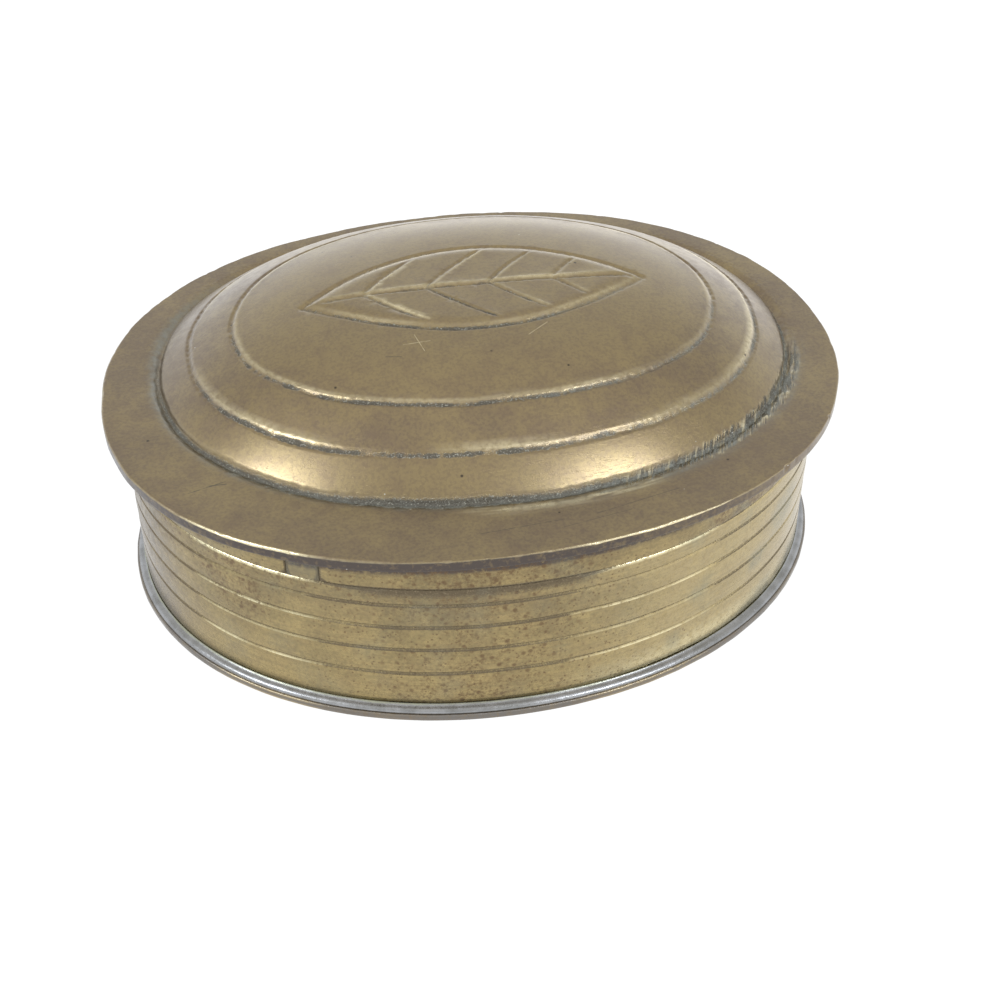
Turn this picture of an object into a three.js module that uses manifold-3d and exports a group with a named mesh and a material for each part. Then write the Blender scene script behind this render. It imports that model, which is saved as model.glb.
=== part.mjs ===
// Oval brass trinket box with a lift-off domed lid.
// Millimetres, +Z up. The origin is under the middle of the base, and the long axis lies along X.
// Strips of sheet are bent round one oval, the body's outer face, and every strip, bead and plate
// is placed by how far it lies outside (+) or inside (-) that face.
import * as THREE from "three";
import { mergeVertices } from "three/addons/utils/BufferGeometryUtils.js";
import Module from "manifold-3d";

// The oval of the body's outer face
const BODY_LENGTH = 97;
const BODY_WIDTH = 79.2;
const BODY_SQUARENESS = 2.05;      // 2 is an ellipse, more is squarer
const STATIONS = 80;               // points round every oval

// Body
const BASE_THICKNESS = 1.0;
const BASE_OVERHANG = 1.4;
const BASE_EDGE_CHAMFER = 0.25;
const WALL_HEIGHT = 20.8;
const WALL_THICKNESS = 1.0;
const LINE_HEIGHTS = [6.3, 10.5, 14.5, 18.2];  // engraved lines, above the base plate
const LINE_WIDTH = 0.5;
const LINE_DEPTH = 0.22;
const SEAM_DIRECTION = 90;         // degrees from +X, at the back
const SEAM_WIDTH = 0.8;
const BEAD_WIDTH = 1.1;
const BEAD_HEIGHT = 0.95;
const BEZEL_THICKNESS = 0.8;
const BEZEL_HEIGHT = 9;
const BEZEL_STAND = 3.2;           // how far the bezel stands proud of the wall
const SOLDER_FILM = 0.15;          // solder between faces that are soldered side by side

// Key that makes the lid go on one way round
const KEY_DIRECTION = -131.6;      // degrees from +X, at the front left
const KEY_WIDTH = 3.7;
const KEY_SLIT = 0.35;             // clearance on each side of the key
const KEY_HEADROOM = 0.4;          // clearance over the key

// Lid
const LID_OVERHANG_END = 2.5;
const LID_OVERHANG_SIDE = 1.4;
const LID_SQUARENESS = 2.16;
const LID_THICKNESS = 1.6;
const LID_EDGE_CHAMFER = 0.3;
const COLLAR_HEIGHT = 4.7;
const LID_CLEARANCE = 0.3;         // between collar and bezel
const FILLET_LEG = 0.8;            // solder fillet between collar and plate

// Dome, raised by hand: it sits a little off the middle of the plate and a little turned
const RIM_END = 7.0;               // mean width of the flat rim at the two ends
const RIM_SIDE = 7.2;              // mean width of the flat rim at front and back
const DOME_SHIFT_X = 1.0;
const DOME_SHIFT_Y = 3.6;
const DOME_TURN = -3.2;            // degrees
const DOME_SQUARENESS = 2.12;
const DOME_RISE = 10.2;
const DOME_FULLNESS = 3.4;         // power of the profile: 2 is round, more is flatter on top
const DOME_HOLLOW_INSET = 1.6;     // foot of the hollow under the dome, inside the foot of the dome
const MOAT_WIDTH = 1.5;
const MOAT_DEPTH = 0.6;
const CONTOUR_INSETS = [4.6, 10.7];  // chased ovals, measured in from the foot of the dome
const CONTOUR_WIDTH = 1.0;
const CONTOUR_DEPTH = 0.35;
const CONTOUR_LIP = 0.12;          // metal thrown up on the inner side of a chased line

// Where the rings of the faceted surfaces lie, as shares of the way from the middle to the edge
const CROWN_RINGS = [0.92, 0.72, 0.5, 0.25];
const HOLLOW_RINGS = [0.3, 0.5, 0.66, 0.78, 0.87, 0.94, 1];

// Plain pointed leaf, raised in the middle of the dome
const LEAF_LENGTH = 47;
const LEAF_WIDTH = 20;
const LEAF_RISE = 0.35;
const LEAF_ROOT = 0.8;             // how deep the leaf is joined into the dome
const LEAF_POINTS = 14;            // points along each side
const LEAF_SHOULDER = 0.94;        // share of the outline at which the leaf reaches its full rise
const LEAF_SHOULDER_RISE = 0.6;    // share of the rise at the outline itself
const LEAF_RINGS = [0.7, 0.35];
const LEAF_ROOT_RING = 0.6;
const BEAD_ARC_POINTS = 4;

// Heights that follow from the sizes above
const wallTop = BASE_THICKNESS + WALL_HEIGHT;
const plateUnder = wallTop + COLLAR_HEIGHT;
const plateTop = plateUnder + LID_THICKNESS;
const bezelFace = -(WALL_THICKNESS + SOLDER_FILM);
const bezelTop = wallTop + BEZEL_STAND;
const collarInside = bezelFace + LID_CLEARANCE;
const keyTop = plateUnder - KEY_HEADROOM;

const wasm = await Module();
wasm.setup();

const BRASS = { color: 0xa08a52, roughness: 0.42, metalness: 1 };
const DARK_BRASS = { color: 0x857451, roughness: 0.5, metalness: 1 };
const SOLDER = { color: 0x8d8f90, roughness: 0.45, metalness: 1 };

// An oval is given by its half sizes and how square it is; this is its reach in one direction.
function ovalReach({ halfLength, halfWidth, squareness }, angle) {
  const x = Math.abs(Math.cos(angle)) / halfLength;
  const y = Math.abs(Math.sin(angle)) / halfWidth;
  return 1 / Math.pow(x ** squareness + y ** squareness, 1 / squareness);
}

function ovalPoint(oval, angle) {
  const reach = ovalReach(oval, angle);
  return new THREE.Vector2(reach * Math.cos(angle), reach * Math.sin(angle));
}

function ovalNormal(oval, angle) {
  const { x, y } = ovalPoint(oval, angle);
  const power = oval.squareness - 1;
  const nx = Math.sign(x) * Math.abs(x / oval.halfLength) ** power / oval.halfLength;
  const ny = Math.sign(y) * Math.abs(y / oval.halfWidth) ** power / oval.halfWidth;
  return new THREE.Vector2(nx, ny).normalize();
}

const bodyOval = {
  halfLength: BODY_LENGTH / 2,
  halfWidth: BODY_WIDTH / 2,
  squareness: BODY_SQUARENESS,
};

const lidOval = {
  halfLength: bodyOval.halfLength + LID_OVERHANG_END,
  halfWidth: bodyOval.halfWidth + LID_OVERHANG_SIDE,
  squareness: LID_SQUARENESS,
};

const domeOval = {
  halfLength: lidOval.halfLength - RIM_END,
  halfWidth: lidOval.halfWidth - RIM_SIDE,
  squareness: DOME_SQUARENESS,
};

// Directions round an oval, in radians: the regular stations, or those between two directions
// with the two directions themselves.
function stationsBetween(start, end) {
  const step = (2 * Math.PI) / STATIONS;
  const inside = [];
  for (let k = Math.ceil(start / step); k * step < end; k += 1) {
    if (k * step - start > step / 8 && end - k * step > step / 8) inside.push(k * step);
  }
  return [start, ...inside, end];
}

function allStations() {
  return Array.from({ length: STATIONS }, (_, k) => (2 * Math.PI * k) / STATIONS);
}

// Half the angle that a width takes up on the body's oval, seen from the middle
function halfAngle(width, direction) {
  return Math.asin(width / 2 / ovalReach(bodyOval, direction));
}

// Points at one offset and height along the body's oval
function bodyRing(offset, z, stations) {
  return stations.map((angle) => {
    const p = ovalPoint(bodyOval, angle).addScaledVector(ovalNormal(bodyOval, angle), offset);
    return new THREE.Vector3(p.x, p.y, z);
  });
}

function geometryOf(points, triangles) {
  const geometry = new THREE.BufferGeometry().setFromPoints(points);
  geometry.setIndex(triangles);
  return geometry;
}

// Skins a row of rings, each running anticlockwise seen from above. The rings run outwards along
// the bottom, up the outside and back in over the top, or round a closed section.
function skinRings(rings, { sectionCloses = false, roundCloses = true, first = null, last = null } = {}) {
  const count = rings[0].length;
  const points = rings.flat();
  const triangles = [];
  const at = (ring, k) => (ring % rings.length) * count + (k % count);
  const ringSteps = sectionCloses ? rings.length : rings.length - 1;
  const roundSteps = roundCloses ? count : count - 1;
  for (let r = 0; r < ringSteps; r += 1) {
    for (let k = 0; k < roundSteps; k += 1) {
      triangles.push(at(r, k), at(r, k + 1), at(r + 1, k + 1));
      triangles.push(at(r, k), at(r + 1, k + 1), at(r + 1, k));
    }
  }
  if (first) {
    points.push(first);
    const centre = points.length - 1;
    for (let k = 0; k < count; k += 1) triangles.push(centre, at(0, k + 1), at(0, k));
  }
  if (last) {
    points.push(last);
    const centre = points.length - 1;
    const end = rings.length - 1;
    for (let k = 0; k < count; k += 1) triangles.push(centre, at(end, k), at(end, k + 1));
  }
  return { points, triangles, at };
}

// Sweeps a section, given anticlockwise as [offset, height] pairs, all the way round the body's oval
function sweepRound(section) {
  const stations = allStations();
  const rings = section.map(([offset, z]) => bodyRing(offset, z, stations));
  const { points, triangles } = skinRings(rings, { sectionCloses: true });
  return geometryOf(points, triangles);
}

// The same from one direction to another, with flat ends
function sweepArc(section, start, end) {
  const stations = stationsBetween(start, end);
  const rings = section.map(([offset, z]) => bodyRing(offset, z, stations));
  const { points, triangles, at } = skinRings(rings, { sectionCloses: true, roundCloses: false });
  const outline = section.map(([offset, z]) => new THREE.Vector2(offset, z));
  for (const [a, b, c] of THREE.ShapeUtils.triangulateShape(outline, [])) {
    const far = stations.length - 1;
    triangles.push(at(a, 0), at(b, 0), at(c, 0));
    triangles.push(at(c, far), at(b, far), at(a, far));
  }
  return geometryOf(points, triangles);
}

// Section of a strip standing on edge, from its inner to its outer face
function stripSection(inside, outside, bottom, top) {
  return [[inside, bottom], [outside, bottom], [outside, top], [inside, top]];
}

// From one side of a gap all the way round to its other side
function roundTheGap(direction, width) {
  const middle = THREE.MathUtils.degToRad(direction);
  const half = halfAngle(width, middle);
  return [middle + half, middle - half + 2 * Math.PI];
}

function arcOfWidth(direction, width) {
  const middle = THREE.MathUtils.degToRad(direction);
  const half = halfAngle(width, middle);
  return [middle - half, middle + half];
}

// Flat sheet with a small chamfer on both edges
function makeBasePlate() {
  const stations = allStations();
  const edge = BASE_OVERHANG;
  const inner = BASE_OVERHANG - BASE_EDGE_CHAMFER;
  const rings = [
    bodyRing(inner, 0, stations),
    bodyRing(edge, BASE_EDGE_CHAMFER, stations),
    bodyRing(edge, BASE_THICKNESS - BASE_EDGE_CHAMFER, stations),
    bodyRing(inner, BASE_THICKNESS, stations),
  ];
  const first = new THREE.Vector3(0, 0, 0);
  const last = new THREE.Vector3(0, 0, BASE_THICKNESS);
  const { points, triangles } = skinRings(rings, { first, last });
  return geometryOf(points, triangles);
}

// Strip bent round the oval, with a V-shaped line engraved at each height and a gap at the back
function makeBodyWall() {
  const section = [[-WALL_THICKNESS, BASE_THICKNESS], [0, BASE_THICKNESS]];
  for (const height of LINE_HEIGHTS) {
    const z = BASE_THICKNESS + height;
    section.push([0, z - LINE_WIDTH / 2], [-LINE_DEPTH, z], [0, z + LINE_WIDTH / 2]);
  }
  section.push([0, wallTop], [-WALL_THICKNESS, wallTop]);
  const [start, end] = roundTheGap(SEAM_DIRECTION, SEAM_WIDTH + 2 * SOLDER_FILM);
  return sweepArc(section, start, end);
}

// Solder that fills the butt seam of the wall strip, slightly sunk at its outer face
function makeWallSeam() {
  const [start, end] = arcOfWidth(SEAM_DIRECTION, SEAM_WIDTH);
  const section = stripSection(-WALL_THICKNESS, -LINE_DEPTH, BASE_THICKNESS, wallTop);
  return sweepArc(section, start, end);
}

// Rounded bead in the corner between the wall and the base plate
function makeBaseSolderBead() {
  const inside = SOLDER_FILM;
  const arc = new THREE.EllipseCurve(inside, BASE_THICKNESS, BEAD_WIDTH, BEAD_HEIGHT, 0, Math.PI / 2);
  const section = [[inside, BASE_THICKNESS]];
  for (const p of arc.getPoints(BEAD_ARC_POINTS)) section.push([p.x, p.y]);
  return sweepRound(section);
}

function makeInnerBezel() {
  const inside = bezelFace - BEZEL_THICKNESS;
  return sweepRound(stripSection(inside, bezelFace, bezelTop - BEZEL_HEIGHT, bezelTop));
}

// Tab on top of the wall, flush with its outer face
function makeLocatingKey() {
  const [start, end] = arcOfWidth(KEY_DIRECTION, KEY_WIDTH);
  return sweepArc(stripSection(collarInside, 0, wallTop, keyTop), start, end);
}

function makeLidCollar() {
  const [start, end] = roundTheGap(KEY_DIRECTION, KEY_WIDTH + 2 * KEY_SLIT);
  return sweepArc(stripSection(collarInside, 0, wallTop, plateUnder), start, end);
}

// Three-cornered fillet inside the collar, under the plate
function makeLidSolder() {
  const outer = collarInside - SOLDER_FILM;
  const [start, end] = roundTheGap(KEY_DIRECTION, KEY_WIDTH + 2 * KEY_SLIT);
  const section = [[outer, plateUnder - FILLET_LEG], [outer, plateUnder], [outer - FILLET_LEG, plateUnder]];
  return sweepArc(section, start, end);
}

// The dome's own frame: shifted off the middle of the plate and turned
function domeToPlate(point, z) {
  const p = point.clone().rotateAround(new THREE.Vector2(), THREE.MathUtils.degToRad(DOME_TURN));
  return new THREE.Vector3(p.x + DOME_SHIFT_X, p.y + DOME_SHIFT_Y, z);
}

// How far out a point of the dome's frame lies, from 0 in the middle to 1 at the foot
function domeShare(oval, point) {
  const x = Math.abs(point.x / oval.halfLength) ** oval.squareness;
  const y = Math.abs(point.y / oval.halfWidth) ** oval.squareness;
  return Math.pow(x + y, 1 / oval.squareness);
}

function domeHeight(oval, point) {
  return DOME_RISE * (1 - Math.min(domeShare(oval, point), 1) ** DOME_FULLNESS);
}

function insetOval(oval, inset) {
  return { ...oval, halfLength: oval.halfLength - inset, halfWidth: oval.halfWidth - inset };
}

// Ring on the dome: an inset from its foot, a share of that oval, and metal raised or sunk there
function domeRing(inset, share, raised) {
  const ring = insetOval(domeOval, inset);
  return allStations().map((angle) => {
    const p = ovalPoint(ring, angle).multiplyScalar(share);
    return domeToPlate(p, plateTop + domeHeight(domeOval, p) + raised);
  });
}

function plateRing(inset, z) {
  return allStations().map((angle) => {
    const p = ovalPoint(insetOval(lidOval, inset), angle);
    return new THREE.Vector3(p.x, p.y, z);
  });
}

// Moat round the foot, then the flank and the crown with a chased line at each inset
function domeTopRings() {
  const half = CONTOUR_WIDTH / 2;
  const rings = [
    domeRing(-MOAT_WIDTH / 2, 1, 0),
    domeRing(0, 1, -MOAT_DEPTH),
    domeRing(MOAT_WIDTH / 2, 1, 0),
  ];
  let from = MOAT_WIDTH / 2;
  for (const inset of CONTOUR_INSETS) {
    const gap = inset - half - from;
    rings.push(domeRing(from + gap / 3, 1, 0), domeRing(from + (2 * gap) / 3, 1, 0));
    rings.push(domeRing(inset - half, 1, 0), domeRing(inset, 1, -CONTOUR_DEPTH));
    rings.push(domeRing(inset + half, 1, CONTOUR_LIP));
    from = inset + half;
  }
  for (const share of CROWN_RINGS) rings.push(domeRing(from, share, 0));
  return rings;
}

// Underside: a hollow that follows the dome, then the flat rim
function hollowRings() {
  const foot = insetOval(domeOval, DOME_HOLLOW_INSET);
  return HOLLOW_RINGS.map((share) =>
    allStations().map((angle) => {
      const p = ovalPoint(foot, angle).multiplyScalar(share);
      return domeToPlate(p, plateUnder + domeHeight(foot, p));
    }),
  );
}

function makeDomedPlate() {
  const chamfer = LID_EDGE_CHAMFER;
  const rings = [
    ...hollowRings(),
    plateRing(chamfer, plateUnder),
    plateRing(0, plateUnder + chamfer),
    plateRing(0, plateTop - chamfer),
    plateRing(chamfer, plateTop),
    ...domeTopRings(),
  ];
  const middle = new THREE.Vector2(0, 0);
  const first = domeToPlate(middle, plateUnder + DOME_RISE);
  const last = domeToPlate(middle, plateTop + DOME_RISE);
  const { points, triangles } = skinRings(rings, { first, last });
  return geometryOf(points, triangles);
}

// Outline of the leaf in the dome's frame: two curved sides that meet in points, anticlockwise
function leafOutline() {
  const shape = new THREE.Shape();
  shape.moveTo(-LEAF_LENGTH / 2, 0);
  shape.quadraticCurveTo(0, -LEAF_WIDTH, LEAF_LENGTH / 2, 0);
  shape.quadraticCurveTo(0, LEAF_WIDTH, -LEAF_LENGTH / 2, 0);
  return shape.getPoints(LEAF_POINTS).slice(0, 2 * LEAF_POINTS);
}

// Pad of the leaf: it follows the dome, stands proud of it and reaches a little into it
function makeLeafPad() {
  const outline = leafOutline();
  const layer = (share, raised) =>
    outline.map((corner) => {
      const p = corner.clone().multiplyScalar(share);
      return domeToPlate(p, plateTop + domeHeight(domeOval, p) + raised);
    });
  const rings = [
    layer(LEAF_ROOT_RING, -LEAF_ROOT),
    layer(1, -LEAF_ROOT),
    layer(1, LEAF_RISE * LEAF_SHOULDER_RISE),
    layer(LEAF_SHOULDER, LEAF_RISE),
    ...LEAF_RINGS.map((share) => layer(share, LEAF_RISE)),
  ];
  const middle = new THREE.Vector2(0, 0);
  const first = domeToPlate(middle, plateTop + DOME_RISE - LEAF_ROOT);
  const last = domeToPlate(middle, plateTop + DOME_RISE + LEAF_RISE);
  const { points, triangles } = skinRings(rings, { first, last });
  return geometryOf(points, triangles);
}

function toSolid(geometry) {
  const merged = mergeVertices(geometry);
  return new wasm.Manifold(new wasm.Mesh({
    numProp: 3,
    vertProperties: new Float32Array(merged.attributes.position.array),
    triVerts: new Uint32Array(merged.index.array),
  }));
}

function fromSolid(solid) {
  const mesh = solid.getMesh();
  const geometry = new THREE.BufferGeometry();
  geometry.setAttribute("position", new THREE.BufferAttribute(mesh.vertProperties, mesh.numProp));
  geometry.setIndex(new THREE.BufferAttribute(mesh.triVerts, 1));
  return geometry;
}

// Plate with its dome, chased ovals and raised leaf, all one piece of metal
function makeLidPlate() {
  return fromSolid(toSolid(makeDomedPlate()).add(toSolid(makeLeafPad())));
}

function namedMesh(name, geometry, finish) {
  const mesh = new THREE.Mesh(geometry, new THREE.MeshStandardMaterial(finish));
  mesh.name = name;
  return mesh;
}

const body = new THREE.Group();
body.add(namedMesh("base_plate", makeBasePlate(), DARK_BRASS));
body.add(namedMesh("body_wall", makeBodyWall(), BRASS));
body.add(namedMesh("wall_seam", makeWallSeam(), SOLDER));
body.add(namedMesh("base_solder_bead", makeBaseSolderBead(), SOLDER));
body.add(namedMesh("inner_bezel", makeInnerBezel(), BRASS));
body.add(namedMesh("locating_key", makeLocatingKey(), DARK_BRASS));

const lid = new THREE.Group();
lid.add(namedMesh("lid_plate", makeLidPlate(), DARK_BRASS));
lid.add(namedMesh("lid_collar", makeLidCollar(), BRASS));
lid.add(namedMesh("lid_solder", makeLidSolder(), SOLDER));

const box = new THREE.Group();
box.add(body, lid);

export default box;
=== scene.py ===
"""Looks of an oval brass trinket box with a lift-off domed lid.

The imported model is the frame. Every piece here is a finer copy of one of its solids: the same oval,
heights and gaps, with the hand work and the wear that a solid of flat facets can't carry.

Sizes are in millimetres. Each mesh is scaled to metres once, when it is made into an object.
"""
import logging
import math
from collections.abc import Callable
from dataclasses import dataclass, field, replace
from enum import Enum

import bmesh
import bpy
import numpy as np
from mathutils import Matrix, Vector, noise


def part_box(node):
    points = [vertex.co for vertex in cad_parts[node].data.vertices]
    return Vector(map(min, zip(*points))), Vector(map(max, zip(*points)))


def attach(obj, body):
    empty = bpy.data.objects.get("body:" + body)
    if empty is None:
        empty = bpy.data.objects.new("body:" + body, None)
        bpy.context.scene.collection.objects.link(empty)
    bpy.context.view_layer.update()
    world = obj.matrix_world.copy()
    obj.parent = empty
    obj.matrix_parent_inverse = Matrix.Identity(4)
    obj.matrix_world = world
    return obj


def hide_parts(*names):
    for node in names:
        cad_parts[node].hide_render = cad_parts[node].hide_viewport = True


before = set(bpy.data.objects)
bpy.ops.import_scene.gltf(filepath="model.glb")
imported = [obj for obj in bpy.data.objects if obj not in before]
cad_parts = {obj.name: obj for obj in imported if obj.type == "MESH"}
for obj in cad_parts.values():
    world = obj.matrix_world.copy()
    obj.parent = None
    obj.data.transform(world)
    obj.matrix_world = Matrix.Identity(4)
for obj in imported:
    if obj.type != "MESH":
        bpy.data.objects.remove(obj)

LOG = logging.getLogger("trinket_box")
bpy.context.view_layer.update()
MM = 0.001
FULL_TURN = 2 * math.pi
SPIN_RADIUS = 50.0
"""Radius at which a section is spun before it is moved out to its oval."""
ARC_RADIUS = 45.0
"""Mean radius of the moat, for lengths along it."""
FRONT_MIDDLE = -8.0
"""Place along X of the middle of the front, as the photograph shows it."""
SEARCH_OUTSIDE, SEARCH_CORE, HALVINGS = 12.0, 0.5, 24
"""How far outside an oval and how near its middle its nested ovals are searched, and in how many steps."""
SAME = 1e-4
"""Distance within which points are merged and heights count as the same."""
ABOUT_SAME = 1e-3
"""The same for points that have been turned round the axis."""

Triple = tuple[float, float, float]
Colour = Triple
Section = list[tuple[float, float]]
Fade = tuple[float, float]
"""Place at which a soft step starts or ends, and its length."""


class Body(Enum):
    """The two bodies that pieces ride on."""

    BOX = "body"
    LID = "lid"


class Trace(Enum):
    """Per-point marks that the finishes read."""

    # Dirt, and a painted shadow in the joints at the front.
    DIRT_AND_SHADE = "dirt"
    # Worn gold, and painted highlights in the highlit stretches of the front.
    WEAR_AND_HIGHLIGHT = "wear"
    BLOOM = "bloom"
    PITTING = "pitting"
    # Tarnish, and a painted shadow close under the lid plate.
    TARNISH_AND_SHADE = "tarnish"
    POLISH = "polish"
    STROKES = "strokes"


def node_box(node: str) -> tuple[np.ndarray, np.ndarray]:
    """Lowest and highest corner of a CAD node.

    Args:
        node: The node's name.

    Returns:
        Both corners in millimetres.
    """
    low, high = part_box(node)
    return np.array(low) / MM, np.array(high) / MM


def heights(node: str) -> tuple[float, float]:
    """Lowest and highest point of a CAD node in millimetres."""
    low, high = node_box(node)
    return low[2], high[2]


def soft_noise(places: np.ndarray, size: float, seed: float) -> np.ndarray:
    """Smooth random values, one for each place.

    Args:
        places: Points, one row each, in millimetres.
        size: Distance over which the value changes.
        seed: Shifts the pattern, so that no two are alike.

    Returns:
        Values from about -1 to 1.
    """
    flat = np.zeros((len(places), 3))
    flat[:, : places.shape[1]] = places
    return np.array([noise.noise(Vector(p)) for p in flat / size + seed])


def ease(value: np.ndarray) -> np.ndarray:
    """Smooth step from 0 to 1 of a value from 0 to 1."""
    share = np.clip(value, 0.0, 1.0)
    return share * share * (3 - 2 * share)


def rise(value: np.ndarray, start: float, length: float) -> np.ndarray:
    """Smooth step from 0 at a start to 1, a length further on."""
    return ease((value - start) / length)


def fall(value: np.ndarray, end: float, length: float) -> np.ndarray:
    """Smooth step from 1, a length before an end, to 0 at that end."""
    return ease((end - value) / length)


def bell(value: np.ndarray, centre: float, reach: float | np.ndarray) -> np.ndarray:
    """Bell curve with a height of 1 at its centre and about a third of that at its reach."""
    return np.exp(-(((value - centre) / reach) ** 2))


def patchy(
    places: np.ndarray, size: float, seed: float, middle: float, swing: float, least: float = 0,
    most: float = 1,
) -> np.ndarray:
    """Uneven strength of a mark, one for each place.

    Args:
        places: Points, one row each, in millimetres.
        size: Size of the patches.
        seed: Shifts the pattern.
        middle: Mean strength.
        swing: How far the strength goes up and down.
        least: Lowest strength.
        most: Highest strength.

    Returns:
        The strengths.
    """
    return np.clip(middle + swing * soft_noise(places, size, seed), least, most)


def arc_along(plan: np.ndarray) -> np.ndarray:
    """Distance of each place along the moat."""
    return np.arctan2(plan[:, 1], plan[:, 0]) * ARC_RADIUS


def drawn_out(plan: np.ndarray, depth: np.ndarray, length: float, narrowness: float) -> np.ndarray:
    """Coordinates that draw a pattern out along the moat and narrow it across."""
    return np.column_stack([arc_along(plan) / length, depth * narrowness])


def round_over(
    shape: bmesh.types.BMesh, edges: list[bmesh.types.BMEdge], radius: float, segments: int
) -> None:
    """Rounds some edges of a shape."""
    bmesh.ops.bevel(
        shape, geom=edges, offset=radius, offset_type="OFFSET", affect="EDGES",
        segments=segments, profile=0.5, material=-1, clamp_overlap=True,
    )


def spin_disc(
    shape: bmesh.types.BMesh, steps: int, reach: float, faces_at: tuple[float, float], radius: float,
    segments: int,
) -> None:
    """Spins a section into a disc and rounds its two rims.

    Args:
        shape: The section, from the axis out to the rim and back to the axis.
        steps: Number of steps in the full turn.
        reach: Radius of the rims.
        faces_at: Heights of the lower and the upper face.
        radius: How far the rounding reaches.
        segments: Facets of the rounding.
    """
    bmesh.ops.spin(
        shape, geom=shape.verts[:] + shape.edges[:], cent=(0, 0, 0), axis=(0, 0, 1), dvec=(0, 0, 0),
        angle=FULL_TURN, steps=steps, use_merge=True, use_duplicate=False,
    )
    bmesh.ops.remove_doubles(shape, verts=shape.verts[:], dist=SAME)
    low, high = faces_at
    rims = [
        edge for edge in shape.edges
        if all(math.hypot(v.co.x, v.co.y) > reach - ABOUT_SAME for v in edge.verts)
        and all(min(v.co.z - low, high - v.co.z) < SAME for v in edge.verts)
        and abs(edge.verts[0].co.z - edge.verts[1].co.z) < SAME
    ]
    round_over(shape, rims, radius, segments)
    bmesh.ops.recalc_face_normals(shape, faces=shape.faces)


@dataclass(frozen=True)
class Oval:
    """Oval given by its half sizes and by how square it is, where 2 is an ellipse."""

    half_length: float
    half_width: float
    squareness: float

    @classmethod
    def round_node(cls, node: str, squareness: float) -> "Oval":
        """Oval that bounds a CAD node.

        Args:
            node: The node's name.
            squareness: How square its outline is.

        Returns:
            The oval.
        """
        _, high = node_box(node)
        return cls(high[0], high[1], squareness)

    def inset(self, depth: float) -> "Oval":
        """Oval that lies inside this one by a depth."""
        return Oval(self.half_length - depth, self.half_width - depth, self.squareness)

    def points(self, angle: np.ndarray) -> np.ndarray:
        """Points on the oval in the given directions."""
        x = np.abs(np.cos(angle)) / self.half_length
        y = np.abs(np.sin(angle)) / self.half_width
        reach = (x**self.squareness + y**self.squareness) ** (-1 / self.squareness)
        return np.stack([reach * np.cos(angle), reach * np.sin(angle)], axis=1)

    def normals(self, angle: np.ndarray) -> np.ndarray:
        """Outward normals at those points."""
        points = self.points(angle)
        half = np.array([self.half_length, self.half_width])
        normal = np.sign(points) * np.abs(points / half) ** (self.squareness - 1) / half
        return normal / np.linalg.norm(normal, axis=1, keepdims=True)

    def share(self, places: np.ndarray) -> np.ndarray:
        """How far out each place lies, from 0 in the middle to 1 on the oval."""
        x = np.abs(places[:, 0] / self.half_length) ** self.squareness
        y = np.abs(places[:, 1] / self.half_width) ** self.squareness
        return (x + y) ** (1 / self.squareness)

    def depth(self, places: np.ndarray) -> np.ndarray:
        """How far inside the oval each place lies, by the nested oval that runs through it.

        Args:
            places: Points, one row each.

        Returns:
            Depths, negative outside the oval.
        """
        shallow = np.full(len(places), -SEARCH_OUTSIDE)
        deep = np.full(len(places), self.half_width - SEARCH_CORE)
        for _ in range(HALVINGS):
            middle = (shallow + deep) / 2
            x = np.abs(places[:, 0] / (self.half_length - middle)) ** self.squareness
            y = np.abs(places[:, 1] / (self.half_width - middle)) ** self.squareness
            outside = x + y > 1
            deep = np.where(outside, middle, deep)
            shallow = np.where(outside, shallow, middle)
        return (shallow + deep) / 2


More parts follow.
